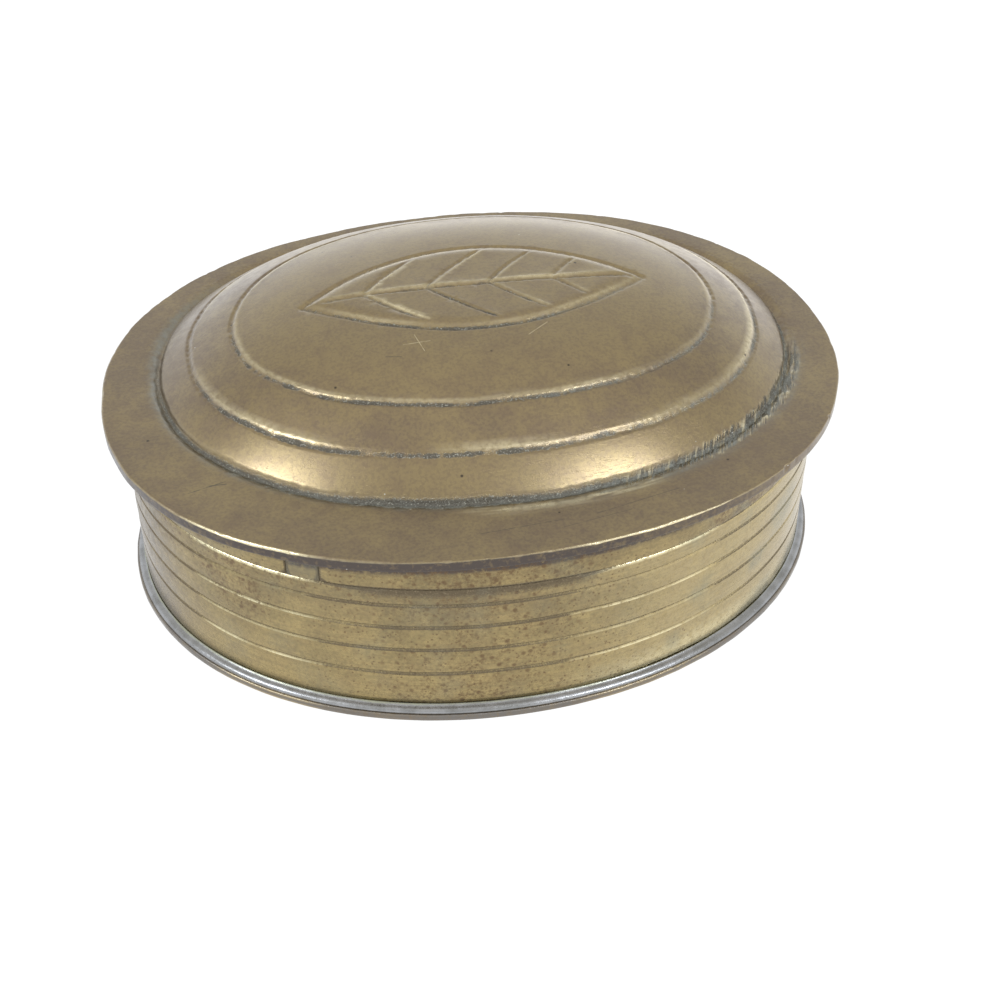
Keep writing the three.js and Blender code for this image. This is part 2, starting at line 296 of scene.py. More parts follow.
class Spun:
    """Section spun round the upright axis, then moved out to an oval."""

    def __init__(self, section: Section, steps: int, span: tuple[float, float] | None = None) -> None:
        """Spins a closed section.

        Args:
            section: Corners as (offset from the oval, height), anticlockwise with +X outwards.
            steps: Number of steps in the whole span.
            span: First and last direction in radians, or None for a full ring.
        """
        self.mesh = bmesh.new()
        self.span = span
        corners = [self.mesh.verts.new((SPIN_RADIUS + x, 0, z)) for x, z in section]
        pairs = zip(corners, corners[1:] + corners[:1])
        edges = [self.mesh.edges.new(pair) for pair in pairs]
        start, end = span or (0.0, FULL_TURN)
        bmesh.ops.rotate(self.mesh, verts=corners, cent=(0, 0, 0), matrix=Matrix.Rotation(start, 3, "Z"))
        bmesh.ops.spin(
            self.mesh, geom=corners + edges, cent=(0, 0, 0), axis=(0, 0, 1), dvec=(0, 0, 0),
            angle=end - start, steps=steps, use_merge=span is None, use_duplicate=False,
        )
        if span is not None:
            self._close_ends()
        bmesh.ops.recalc_face_normals(self.mesh, faces=self.mesh.faces)

    def _close_ends(self) -> None:
        """Fills the two open ends of a part ring."""
        for direction in self.span:
            across = Vector((-math.sin(direction), math.cos(direction), 0))
            along = Vector((math.cos(direction), math.sin(direction), 0))
            rim = [
                edge for edge in self.mesh.edges
                if edge.is_boundary
                and all(abs(v.co.dot(across)) < ABOUT_SAME and v.co.dot(along) > 0 for v in edge.verts)
            ]
            bmesh.ops.contextual_create(self.mesh, geom=rim)

    def round_edges(self, heights: list[float], radius: float, offsets: tuple[float, float]) -> None:
        """Rounds the edge rings at some heights.

        Args:
            heights: Heights of the rings.
            radius: How far the rounding reaches.
            offsets: Least and greatest offset of the rings from the oval.
        """
        rings = []
        for edge in self.mesh.edges:
            first, second = (v.co for v in edge.verts)
            level = abs(first.z - second.z) < SAME and any(abs(first.z - z) < ABOUT_SAME for z in heights)
            reach = [math.hypot(c.x, c.y) - SPIN_RADIUS for c in (first, second)]
            same_ring = abs(reach[0] - reach[1]) < ABOUT_SAME
            if level and same_ring and offsets[0] <= reach[0] <= offsets[1]:
                rings.append(edge)
        round_over(self.mesh, rings, radius, segments=3)

    def places(self) -> tuple[np.ndarray, np.ndarray, np.ndarray]:
        """Direction, offset and height of every point before it is moved out."""
        spun = np.array([v.co for v in self.mesh.verts])
        return (
            np.arctan2(spun[:, 1], spun[:, 0]),
            np.hypot(spun[:, 0], spun[:, 1]) - SPIN_RADIUS,
            spun[:, 2],
        )


def on_oval(oval: Oval, angle: np.ndarray, offset: np.ndarray, height: np.ndarray) -> np.ndarray:
    """Places at an offset from an oval.

    Args:
        oval: The oval.
        angle: Directions in radians.
        offset: Offsets along the oval's outward normal.
        height: Heights.

    Returns:
        Points, one row each.
    """
    plan = oval.points(angle) + oval.normals(angle) * offset[:, None]
    return np.column_stack([plan, height])


def middle_front(places: np.ndarray, reach: float) -> np.ndarray:
    """Share of the middle of the front, which fades out to both sides over a reach."""
    return bell(places[:, 0], FRONT_MIDDLE, reach) * (places[:, 1] < 0)


@dataclass(frozen=True)
class Stretch:
    """Stretch along X over which a mark shows, with a soft start and a soft end."""

    start: float
    fade_in: float
    end: float
    fade_out: float

    def share(self, places: np.ndarray) -> np.ndarray:
        """How strongly the mark shows at each place, from 0 to 1."""
        return rise(places[:, 0], self.start, self.fade_in) * fall(places[:, 0], self.end, self.fade_out)


# Stretches of the front where the lamps' highlights fall; the worn gold there is partly a painted highlight.
WORN_AND_HIGHLIT_LEFT = Stretch(start=-43, fade_in=4, end=-26, fade_out=5)
WORN_AND_HIGHLIT_RIGHT = Stretch(start=2, fade_in=7, end=27, fade_out=6)


def worn_and_highlit_front(places: np.ndarray) -> np.ndarray:
    """Share of the two stretches of the front, one left and one right of the middle, where worn gold is laid
    on: partly wear from hands, partly a painted highlight where the lamps reflect.
    """
    return np.maximum(WORN_AND_HIGHLIT_LEFT.share(places), WORN_AND_HIGHLIT_RIGHT.share(places)) * (places[:, 1] < 0)


@dataclass(frozen=True)
class Piece:
    """Names that tie a finished mesh to the frame."""

    name: str
    stands_for: str
    body: Body
    slot: str

    def make(
        self, shape: bmesh.types.BMesh, places: np.ndarray, traces: dict[Trace, np.ndarray],
        material: bpy.types.Material,
    ) -> bpy.types.Object:
        """Turns a shape into an object that rides on its body.

        Args:
            shape: The faces, whose points are about to be moved.
            places: Final place of every point, in millimetres.
            traces: Marks that the material reads.
            material: The finish.

        Returns:
            The new object.
        """
        mesh = bpy.data.meshes.new(self.name)
        shape.to_mesh(mesh)
        shape.free()
        mesh.vertices.foreach_set("co", (places * MM).astype(np.float32).ravel())
        for trace, values in traces.items():
            attribute = mesh.attributes.new(trace.value, "FLOAT", "POINT")
            attribute.data.foreach_set("value", values.astype(np.float32))
        mesh.polygons.foreach_set("use_smooth", np.ones(len(mesh.polygons), bool))
        mesh.materials.append(material)
        mesh.update()
        piece = bpy.data.objects.new(self.name, mesh)
        bpy.context.scene.collection.objects.link(piece)
        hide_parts(self.stands_for)
        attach(piece, self.body.value)
        mesh.calc_loop_triangles()
        LOG.info("%s stands for %s: %d triangles", self.name, self.stands_for, len(mesh.loop_triangles))
        return piece


@dataclass(frozen=True)
class Dots:
    """Scattered dots of a radius and a distance in millimetres."""

    spacing: float
    radius: float
    least: float = 0.0
    """Least pitting at which they show."""


PIN_HOLES = Dots(5.5, 0.2)
DUST = Dots(4.7, 0.09)
PIT_DOTS = (Dots(0.75, 0.15, 0.15), Dots(1.5, 0.34, 0.4))
FINE_SCRATCHES = (((0.2, 0.1, 0.5), 6.0), ((0.1, 0.3, 2.1), 9.0))
"""Turn and length of the fine scratches, in two directions."""


class Wiring:
    """Short hand for the nodes and links of one material or world."""

    def __init__(self, owner: bpy.types.Material | bpy.types.World) -> None:
        """Clears the nodes of a material or a world and adds its coordinates."""
        owner.use_nodes = True
        self.tree = owner.node_tree
        self.tree.nodes.clear()
        self.coordinates = self.add("ShaderNodeTexCoord")
        self.object_places = self.coordinates.outputs["Object"]

    def add(self, kind: str, **settings: object) -> bpy.types.Node:
        """Adds a node and sets its own values by name."""
        node = self.tree.nodes.new(kind)
        for name, value in settings.items():
            setattr(node, name, value)
        return node

    def join(self, source: bpy.types.NodeSocket, target: bpy.types.NodeSocket) -> None:
        """Links an output to an input."""
        self.tree.links.new(source, target)

    def feed(self, node: bpy.types.Node, key: str | int, value: object) -> None:
        """Gives an input a link or a value, whichever it is."""
        if isinstance(value, bpy.types.NodeSocket):
            self.join(value, node.inputs[key])
        else:
            node.inputs[key].default_value = value

    def trace(self, trace: Trace) -> bpy.types.NodeSocket:
        """Mark that the mesh carries."""
        return self.add("ShaderNodeAttribute", attribute_name=trace.value).outputs["Fac"]

    def mapped(self, kind: str, scale: Triple, turn: Triple) -> bpy.types.NodeSocket:
        """Object coordinates through a Mapping node of a kind."""
        node = self.add("ShaderNodeMapping", vector_type=kind)
        self.join(self.object_places, node.inputs["Vector"])
        node.inputs["Scale"].default_value = scale
        node.inputs["Rotation"].default_value = turn
        return node.outputs["Vector"]

    def stretched(self, scale: Triple, turn: Triple = (0, 0, 0)) -> bpy.types.NodeSocket:
        """Object coordinates, multiplied by a scale on each axis and then turned."""
        return self.mapped("POINT", scale, turn)

    def turned(self, size: Triple, turn: Triple) -> bpy.types.NodeSocket:
        """Object coordinates, turned first and then divided by a size on each axis."""
        return self.mapped("TEXTURE", size, turn)

    def noise(
        self, size: float, detail: float = 3.0, roughness: float = 0.55,
        places: bpy.types.NodeSocket | None = None,
    ) -> bpy.types.NodeSocket:
        """Noise whose features are about a size in millimetres.

        Args:
            size: Feature size.
            detail: Number of finer layers.
            roughness: How strong the finer layers are.
            places: Coordinates other than the piece's own.

        Returns:
            The value socket, from 0 to 1.
        """
        node = self.add("ShaderNodeTexNoise", noise_dimensions="3D")
        self.join(places or self.object_places, node.inputs["Vector"])
        node.inputs["Scale"].default_value = 1 / (size * MM)
        node.inputs["Detail"].default_value = detail
        node.inputs["Roughness"].default_value = roughness
        return node.outputs["Fac"]

    def dots(self, dots: Dots) -> bpy.types.NodeSocket:
        """Share of the nearest dot, from 0 to 1."""
        node = self.add("ShaderNodeTexVoronoi", feature="F1")
        self.join(self.object_places, node.inputs["Vector"])
        node.inputs["Scale"].default_value = 1 / (dots.spacing * MM)
        node.inputs["Randomness"].default_value = 1.0
        core, rim = (share * dots.radius / dots.spacing for share in (0.5, 1.3))
        return self.span(node.outputs["Distance"], core, rim, 1.0, 0.0)

    def vector(self, operation: str, first: object, second: object) -> bpy.types.Node:
        """Node that works on two vectors."""
        node = self.add("ShaderNodeVectorMath", operation=operation)
        self.feed(node, 0, first)
        self.feed(node, 1, second)
        return node

    def stroke(
        self, start: tuple[float, float], end: tuple[float, float], width: float
    ) -> bpy.types.NodeSocket:
        """Straight stroke seen in plan.

        Args:
            start: One end in millimetres.
            end: The other end.
            width: Full width.

        Returns:
            Share of the stroke, from 0 to 1.
        """
        run = ((end[0] - start[0]) * MM, (end[1] - start[1]) * MM, 0)
        square = run[0] ** 2 + run[1] ** 2
        flat = self.vector("MULTIPLY", self.object_places, (1, 1, 0)).outputs[0]
        arm = self.vector("SUBTRACT", flat, (start[0] * MM, start[1] * MM, 0)).outputs[0]
        along = self.vector("DOT_PRODUCT", arm, (run[0] / square, run[1] / square, 0)).outputs["Value"]
        held = self.smaller(self.larger(along, 0.0), 1.0)
        scaled = self.add("ShaderNodeVectorMath", operation="SCALE")
        scaled.inputs[0].default_value = run
        self.join(held, scaled.inputs["Scale"])
        away = self.vector("SUBTRACT", arm, scaled.outputs[0]).outputs[0]
        length = self.add("ShaderNodeVectorMath", operation="LENGTH")
        self.join(away, length.inputs[0])
        return self.span(length.outputs["Value"], 0.25 * width * MM, 0.6 * width * MM, 1.0, 0.0)

    def span(
        self, value: bpy.types.NodeSocket, low: float, high: float, to_low: float = 0.0, to_high: float = 1.0
    ) -> bpy.types.NodeSocket:
        """Value spread from one range to another and held there."""
        node = self.add("ShaderNodeMapRange", clamp=True, interpolation_type="SMOOTHSTEP")
        self.join(value, node.inputs["Value"])
        for name, number in zip(("From Min", "From Max", "To Min", "To Max"), (low, high, to_low, to_high)):
            node.inputs[name].default_value = number
        return node.outputs["Result"]

    def maths(self, operation: str, first: object, second: object) -> bpy.types.NodeSocket:
        """Sum, product or other operation on two values."""
        node = self.add("ShaderNodeMath", operation=operation, use_clamp=False)
        self.feed(node, 0, first)
        self.feed(node, 1, second)
        return node.outputs[0]

    def times(self, first: object, second: object) -> bpy.types.NodeSocket:
        """Product of two values."""
        return self.maths("MULTIPLY", first, second)

    def plus(self, first: object, second: object) -> bpy.types.NodeSocket:
        """Sum of two values."""
        return self.maths("ADD", first, second)

    def larger(self, first: object, second: object) -> bpy.types.NodeSocket:
        """Larger of two values."""
        return self.maths("MAXIMUM", first, second)

    def smaller(self, first: object, second: object) -> bpy.types.NodeSocket:
        """Smaller of two values."""
        return self.maths("MINIMUM", first, second)

    def blend(self, share: object, first: object, second: object) -> bpy.types.NodeSocket:
        """Mixes two colours, each a link or a colour."""
        node = self.add("ShaderNodeMix", data_type="RGBA", blend_type="MIX", clamp_factor=True)
        self.feed(node, 0, share)
        for key, value in ((6, first), (7, second)):
            self.feed(node, key, value if isinstance(value, bpy.types.NodeSocket) else (*value, 1.0))
        return node.outputs[2]

    def shader(self, kind: str, **inputs: object) -> bpy.types.NodeSocket:
        """Adds a shader and feeds its inputs, whose names have an underscore for each space."""
        node = self.add(kind)
        for name, value in inputs.items():
            self.feed(node, name.replace("_", " "), value)
        return node.outputs[0]

    def choice(self, share: object, first: object, second: object) -> bpy.types.NodeSocket:
        """Mixes two shaders."""
        node = self.add("ShaderNodeMixShader")
        for key, value in enumerate((share, first, second)):
            self.feed(node, key, value)
        return node.outputs[0]

    def show(self, shader: bpy.types.NodeSocket, kind: str = "ShaderNodeOutputMaterial") -> None:
        """Makes a shader the surface of the material or the world."""
        self.join(shader, self.add(kind).inputs["Surface"])

    def bump(
        self, height: bpy.types.NodeSocket, depth: float, before: bpy.types.NodeSocket | None = None
    ) -> bpy.types.NodeSocket:
        """Bumps of a depth in millimetres, over those that come before."""
        node = self.add("ShaderNodeBump")
        node.inputs["Strength"].default_value = 1.0
        node.inputs["Distance"].default_value = depth * MM
        self.join(height, node.inputs["Height"])
        if before is not None:
            self.join(before, node.inputs["Normal"])
        return node.outputs["Normal"]


@dataclass(frozen=True)
class Scratch:
    """Single scratch, seen in plan, in millimetres."""

    start: tuple[float, float]
    end: tuple[float, float]
    width: float = 0.16
    bright: bool = False


@dataclass(frozen=True)
class BrassFinish:
    """Old brass: patina over metal, gold where it is rubbed and as painted highlights, dark where dirt lies
    and as painted shade under the lid plate and in joints.
    """

    name: str
    ground: Colour
    patina: Colour
    drift: Colour
    # Worn gold, which is also the colour of the painted highlights on edges and lines.
    worn_and_highlit: Colour
    tarnish: Colour
    dirt: Colour
    dirt_speck: Colour
    pit: Colour
    bloom: Colour = (0.23, 0.236, 0.205)
    roughness: tuple[float, float] = (0.3, 0.46)
    cloud_size: float = 11.0
    mottle_size: float = 1.6
    streak: float = 0.0
    scratch_depth: float = 0.004
    grain_depth: float = 0.006
    crumb_depth: float = 0.12
    coat: float = 0.4
    coat_roughness: float = 0.32
    dirt_metallic: float = 0.5
    dirt_cover: float = 0.92
    dust: Colour = (0.62, 0.6, 0.54)
    dusty: bool = False
    filed: float | None = None
    """Direction in plan of rough tool marks, or None where there are none."""
    scratches: tuple[Scratch, ...] = ()

    def material(self) -> bpy.types.Material:
        """Builds the material.

        Returns:
            The material, which reads object coordinates and the mesh's traces.
        """
        material = bpy.data.materials.new(self.name)
        wiring = Wiring(material)
        mottle = wiring.span(wiring.noise(self.mottle_size, 5.0, 0.65), 0.28, 0.74)
        # Tarnish, and on the strips a painted shadow close under the lid plate.
        tarnish = self._patchy(wiring, Trace.TARNISH_AND_SHADE, 0.7)
        rubbed = self._patchy(wiring, Trace.WEAR_AND_HIGHLIGHT, 0.8)
        speck = wiring.noise(0.24, 2.0, 0.6)
        # Lodged dirt, and on the strips a painted shadow in the joints at the front.
        dirt_and_shade = wiring.span(wiring.plus(wiring.trace(Trace.DIRT_AND_SHADE), wiring.times(speck, 0.7)), 0.62, 1.05)
        dull = wiring.span(wiring.trace(Trace.POLISH), 0.0, 1.0, 1.0, 0.2)
        mottle = wiring.times(mottle, dull)
        if self.filed is not None:
            burrs, ruts = self._tool_marks(wiring)
            dirt_and_shade = wiring.larger(dirt_and_shade, ruts)
        colour = self._patina(wiring, mottle, dull)
        colour = wiring.blend(tarnish, colour, self.tarnish)
        # Worn gold, which in the highlit stretches of the front is partly a painted highlight.
        colour = wiring.blend(rubbed, colour, self.worn_and_highlit)
        colour = self._pits(wiring, colour)
        filling = wiring.blend(wiring.span(speck, 0.54, 0.68), self.dirt, self.dirt_speck)
        colour = wiring.blend(wiring.times(dirt_and_shade, self.dirt_cover), colour, filling)
        colour = wiring.blend(self._patchy(wiring, Trace.BLOOM, 1.1), colour, self.bloom)
        if self.filed is not None:
            colour = wiring.blend(burrs, colour, self.worn_and_highlit)
        wiring.show(wiring.shader(
            "ShaderNodeBsdfPrincipled",
            Base_Color=self._marks(wiring, colour),
            Metallic=wiring.span(dirt_and_shade, 0.0, 1.0, 1.0, self.dirt_metallic),
            Roughness=self._roughness(wiring, mottle, rubbed, dirt_and_shade),
            Coat_Weight=wiring.span(dirt_and_shade, 0.0, 1.0, self.coat, 0.0),
            Coat_Roughness=self.coat_roughness,
            Normal=self._relief(wiring, dirt_and_shade),
        ))
        return material

    def _tool_marks(self, wiring: Wiring) -> tuple[bpy.types.NodeSocket, bpy.types.NodeSocket]:
        """Bright burrs and dark ruts that a rough tool has left side by side."""
        marks = wiring.noise(0.34, 2.0, 0.6, wiring.turned((1, 14, 14), (0, 0, self.filed)))
        strokes = wiring.trace(Trace.STROKES)
        burrs = wiring.times(wiring.span(marks, 0.36, 0.46, 0.32, 0.0), strokes)
        return burrs, wiring.times(wiring.span(marks, 0.48, 0.56), strokes)

    def _patina(
        self, wiring: Wiring, mottle: bpy.types.NodeSocket, dull: bpy.types.NodeSocket
    ) -> bpy.types.NodeSocket:
        """Cloudy ground colour, which is warmer where it has been polished."""
        clouds = wiring.span(wiring.noise(self.cloud_size, 4.0), 0.36, 0.66)
        clouds = wiring.times(wiring.times(clouds, dull), 0.58)
        tone = wiring.plus(clouds, wiring.times(mottle, 0.28))
        flecks = wiring.span(wiring.noise(0.45, 2.0, 0.6), 0.42, 0.66, 0.0, 0.42)
        colour = wiring.blend(wiring.plus(tone, flecks), self.ground, self.patina)
        drift = wiring.span(wiring.noise(3.2, 6.0, 0.7), 0.4, 0.7, 0.0, 0.38)
        colour = wiring.blend(drift, colour, self.drift)
        if self.streak == 0:
            return colour
        level = wiring.noise(18.0, 5.0, 0.6, wiring.stretched((1, 1, 60)))
        return wiring.blend(wiring.span(level, 0.4, 0.7, 0.0, self.streak), colour, self.patina)

    def _patchy(self, wiring: Wiring, trace: Trace, size: float) -> bpy.types.NodeSocket:
        """Trace of the mesh, broken up by noise."""
        broken = wiring.span(wiring.noise(size, 4.0, 0.7), 0.3, 0.58, 0.35, 1.0)
        return wiring.times(wiring.trace(trace), broken)

    def _pits(self, wiring: Wiring, colour: bpy.types.NodeSocket) -> bpy.types.NodeSocket:
        """Brown corrosion pits and fine dots, thick where the pitting trace is strong."""
        trace = wiring.trace(Trace.PITTING)
        spread = wiring.times(trace, 0.21)
        ragged = wiring.plus(wiring.noise(0.6, 6.0, 0.75), spread)
        large = wiring.plus(wiring.noise(3.0, 5.0, 0.7), spread)
        eaten = wiring.times(wiring.span(ragged, 0.62, 0.82), wiring.span(large, 0.5, 0.75))
        colour = wiring.blend(wiring.times(eaten, 0.8), colour, self.pit)
        for dots in PIT_DOTS:
            share = wiring.span(trace, dots.least, dots.least + 0.4, 0.0, 0.75)
            colour = wiring.blend(wiring.times(wiring.dots(dots), share), colour, self.pit)
        return colour

    def _marks(self, wiring: Wiring, colour: bpy.types.NodeSocket) -> bpy.types.NodeSocket:
        """Single scratches, pin holes and dust."""
        if self.dusty:
            colour = wiring.blend(wiring.dots(PIN_HOLES), colour, self.pit)
            colour = wiring.blend(wiring.dots(DUST), colour, self.dust)
        for scratch in self.scratches:
            stroke = wiring.stroke(scratch.start, scratch.end, scratch.width)
            kept = wiring.span(wiring.noise(0.9, 3.0), 0.35, 0.55, 0.3, 0.85)
            broken = wiring.times(stroke, kept)
            colour = wiring.blend(broken, colour, self.worn_and_highlit if scratch.bright else self.dirt)
        return colour

    def _roughness(
        self, wiring: Wiring, mottle: bpy.types.NodeSocket, rubbed: bpy.types.NodeSocket,
        dirt_and_shade: bpy.types.NodeSocket,
    ) -> bpy.types.NodeSocket:
        """Roughness: the patina is duller, worn gold and painted highlights shine, and dirt and painted
        shade are matt.
        """
        satin = wiring.span(mottle, 0.0, 1.0, *self.roughness)
        shine = wiring.times(rubbed, -0.08)
        matt = wiring.times(dirt_and_shade, 0.3)
        return wiring.plus(satin, wiring.plus(shine, matt))

    def _relief(self, wiring: Wiring, dirt_and_shade: bpy.types.NodeSocket) -> bpy.types.NodeSocket:
        """Fine grain, scratches in two directions and rough dirt and painted shade."""
        relief = wiring.bump(wiring.noise(0.5, 4.0, 0.6), self.grain_depth)
        for turn, size in FINE_SCRATCHES:
            lines = wiring.noise(size, 3.0, 0.6, wiring.stretched((1, 45, 45), turn))
            relief = wiring.bump(wiring.span(lines, 0.6, 0.68), self.scratch_depth, relief)
        crumbs = wiring.times(wiring.noise(0.35, 3.0, 0.7), dirt_and_shade)
        return wiring.bump(crumbs, self.crumb_depth, relief)


@dataclass(frozen=True)
class SolderFinish:
    """Soft solder: grey and lumpy, with glints painted into its colour."""

    name: str
    bright: Colour = (0.335, 0.328, 0.318)
    dull: Colour = (0.24, 0.234, 0.22)
    dirt: Colour = (0.29, 0.285, 0.205)
    # Colour of the glints painted into the solder.
    spark: Colour = (0.6, 0.6, 0.62)
    roughness: tuple[float, float] = (0.22, 0.38)
    dirt_metallic: float = 0.4
    lump_depth: float = 0.02

    def material(self) -> bpy.types.Material:
        """Builds the material.

        Returns:
            The material, which reads object coordinates and the dirt trace.
        """
        material = bpy.data.materials.new(self.name)
        wiring = Wiring(material)
        lumps = wiring.span(wiring.noise(2.6, 5.0, 0.6), 0.32, 0.68)
        colour = wiring.blend(lumps, self.dull, self.bright)
        # Bright flecks painted into the colour as glints.
        colour = wiring.blend(wiring.span(wiring.noise(0.5, 2.0), 0.68, 0.78, 0.0, 0.5), colour, self.spark)
        crumbs = wiring.times(wiring.noise(0.5), 0.4)
        crust = wiring.span(wiring.plus(wiring.trace(Trace.DIRT_AND_SHADE), crumbs), 0.5, 0.9)
        colour = wiring.blend(crust, colour, self.dirt)
        wiring.show(wiring.shader(
            "ShaderNodeBsdfPrincipled",
            Base_Color=colour,
            Metallic=wiring.span(crust, 0.0, 1.0, 1.0, self.dirt_metallic),
            Roughness=wiring.span(wiring.noise(0.4, 3.0), 0.3, 0.7, *self.roughness),
            Normal=wiring.bump(wiring.noise(1.4, 5.0, 0.55), self.lump_depth),
        ))
        return material


LID_BRASS = BrassFinish(
    name="lid_brass",
    ground=(0.276, 0.206, 0.099),
    patina=(0.182, 0.133, 0.08),
    drift=(0.18, 0.125, 0.08),
    worn_and_highlit=(0.74, 0.63, 0.39),
    tarnish=(0.085, 0.068, 0.058),
    dirt=(0.082, 0.072, 0.054),
    dirt_speck=(0.3, 0.285, 0.23),
    pit=(0.06, 0.045, 0.03),
    roughness=(0.3, 0.4),
    dusty=True,
    filed=math.radians(-21.0),
    scratches=(
        Scratch((-41.0, -20.2), (-36.3, -18.9), 0.15),
        Scratch((-38.6, -19.3), (-36.2, -19.4), 0.17),
        Scratch((-11.0, -7.7), (-7.4, -7.8), 0.07, True),
        Scratch((-9.2, -6.1), (-8.5, -9.6), 0.07, True),
        Scratch((5.6, -9.2), (8.6, -7.1), 0.07, True),
        Scratch((-7.0, -36.0), (4.0, -35.6), 0.09),
        Scratch((3.0, -37.1), (12.4, -35.6), 0.07),
        Scratch((8.0, -35.4), (19.4, -33.0), 0.09),
        Scratch((-13.6, -9.3), (-11.6, -9.9), 0.12),
    ),
)
WALL_BRASS = BrassFinish(
    name="wall_brass",
    ground=(0.43, 0.33, 0.15),
    patina=(0.25, 0.198, 0.1),
    drift=(0.26, 0.185, 0.1),
    worn_and_highlit=(0.9, 0.8, 0.5),
    tarnish=(0.15, 0.125, 0.105),
    dirt=(0.115, 0.083, 0.044),
    dirt_speck=(0.2, 0.15, 0.085),
    pit=(0.15, 0.095, 0.05),
    bloom=(0.23, 0.24, 0.185),
    roughness=(0.26, 0.4),
    coat=0.14,
    cloud_size=8.0,
    mottle_size=1.0,
    streak=0.5,
    scratch_depth=0.006,
)
# Darker tarnish colour for the collar, which also sets the painted shadow close under the lid plate.
COLLAR_BRASS = replace(WALL_BRASS, name="collar_brass", tarnish=(0.095, 0.077, 0.066))
BASE_BRASS = BrassFinish(
    name="base_brass",
    ground=(0.26, 0.2, 0.12),
    patina=(0.17, 0.138, 0.1),
    drift=(0.17, 0.12, 0.08),
    worn_and_highlit=(0.62, 0.48, 0.24),
    tarnish=(0.18, 0.166, 0.152),
    dirt=(0.08, 0.068, 0.055),
    dirt_speck=(0.14, 0.12, 0.09),
    pit=(0.06, 0.04, 0.025),
)
INNER_BRASS = BrassFinish(
    name="inner_brass",
    ground=(0.33, 0.25, 0.13),
    patina=(0.22, 0.185, 0.12),
    drift=(0.22, 0.16, 0.1),
    worn_and_highlit=(0.6, 0.47, 0.23),
    tarnish=(0.15, 0.12, 0.09),
    dirt=(0.045, 0.035, 0.02),
    dirt_speck=(0.15, 0.12, 0.08),
    pit=(0.09, 0.06, 0.035),
    roughness=(0.36, 0.52),
    streak=0.5,
)
SOLDER = SolderFinish(name="soft_solder")
FINISHES = (LID_BRASS, WALL_BRASS, COLLAR_BRASS, BASE_BRASS, INNER_BRASS, SOLDER)


@dataclass
class Relief:
    """What tools and years did to a surface, point by point."""

    height: np.ndarray
    dirt: np.ndarray
    # Worn gold, which on the strips' lines is partly a painted highlight.
    wear: np.ndarray

    @classmethod
    def bare(cls, count: int) -> "Relief":
        """Untouched surface of so many points."""
        return cls(np.zeros(count), np.zeros(count), np.zeros(count))

    def add(self, other: "Relief", share: np.ndarray | float = 1.0) -> None:
        """Works another relief in, or only a share of it."""
        self.height = self.height + other.height * share
        self.dirt = np.maximum(self.dirt, other.dirt * share)
        self.wear = np.maximum(self.wear, other.wear * share)


@dataclass(frozen=True)
class ChasedLine:
    """Line sunk with a tracing punch, with metal thrown up along one side."""

    width: float = 0.92
    depth: float = 0.32
    lip: float = 0.13
    lip_width: float = 0.55
    wander: float = 0.28
    wander_size: float = 8.0
    punch_size: float = 0.7
    jitter: float = 0.11
    seed: float = 0.0

    def strike(self, distance: np.ndarray, places: np.ndarray) -> Relief:
        """Works out what the line does to the metal near it.

        Args:
            distance: Distance from the line, positive on the side of the lip.
            places: The same points in plan.

        Returns:
            The relief.
        """
        away = distance + self.wander * soft_noise(places, self.wander_size, self.seed)
        away = away + self.jitter * soft_noise(places, self.punch_size, self.seed + 7)
        force = 0.8 + 0.5 * soft_noise(places, 11.0, self.seed + 3)
        force = np.clip(force + 0.45 * soft_noise(places, self.punch_size, self.seed + 5), 0.1, 1.25)
        groove = ease(1.1 - np.abs(away + 0.1) / (self.width / 2))
        crest = bell(away, 0.5 * self.width, 0.3 * self.width)
        swell = np.where(away > 0, np.exp(-away / self.lip_width), np.exp(away / (0.22 * self.width)))
        height = force * (-self.depth * groove + self.lip * swell)
        kept = patchy(places, 2.6, self.seed + 9, 0.8, 0.6, 0.35, 1)
        rubbed = patchy(places, 16.0, self.seed + 15, 0.35, 0.9)
        return Relief(height, groove * kept * np.clip(force * 1.3, 0, 1), crest * rubbed)


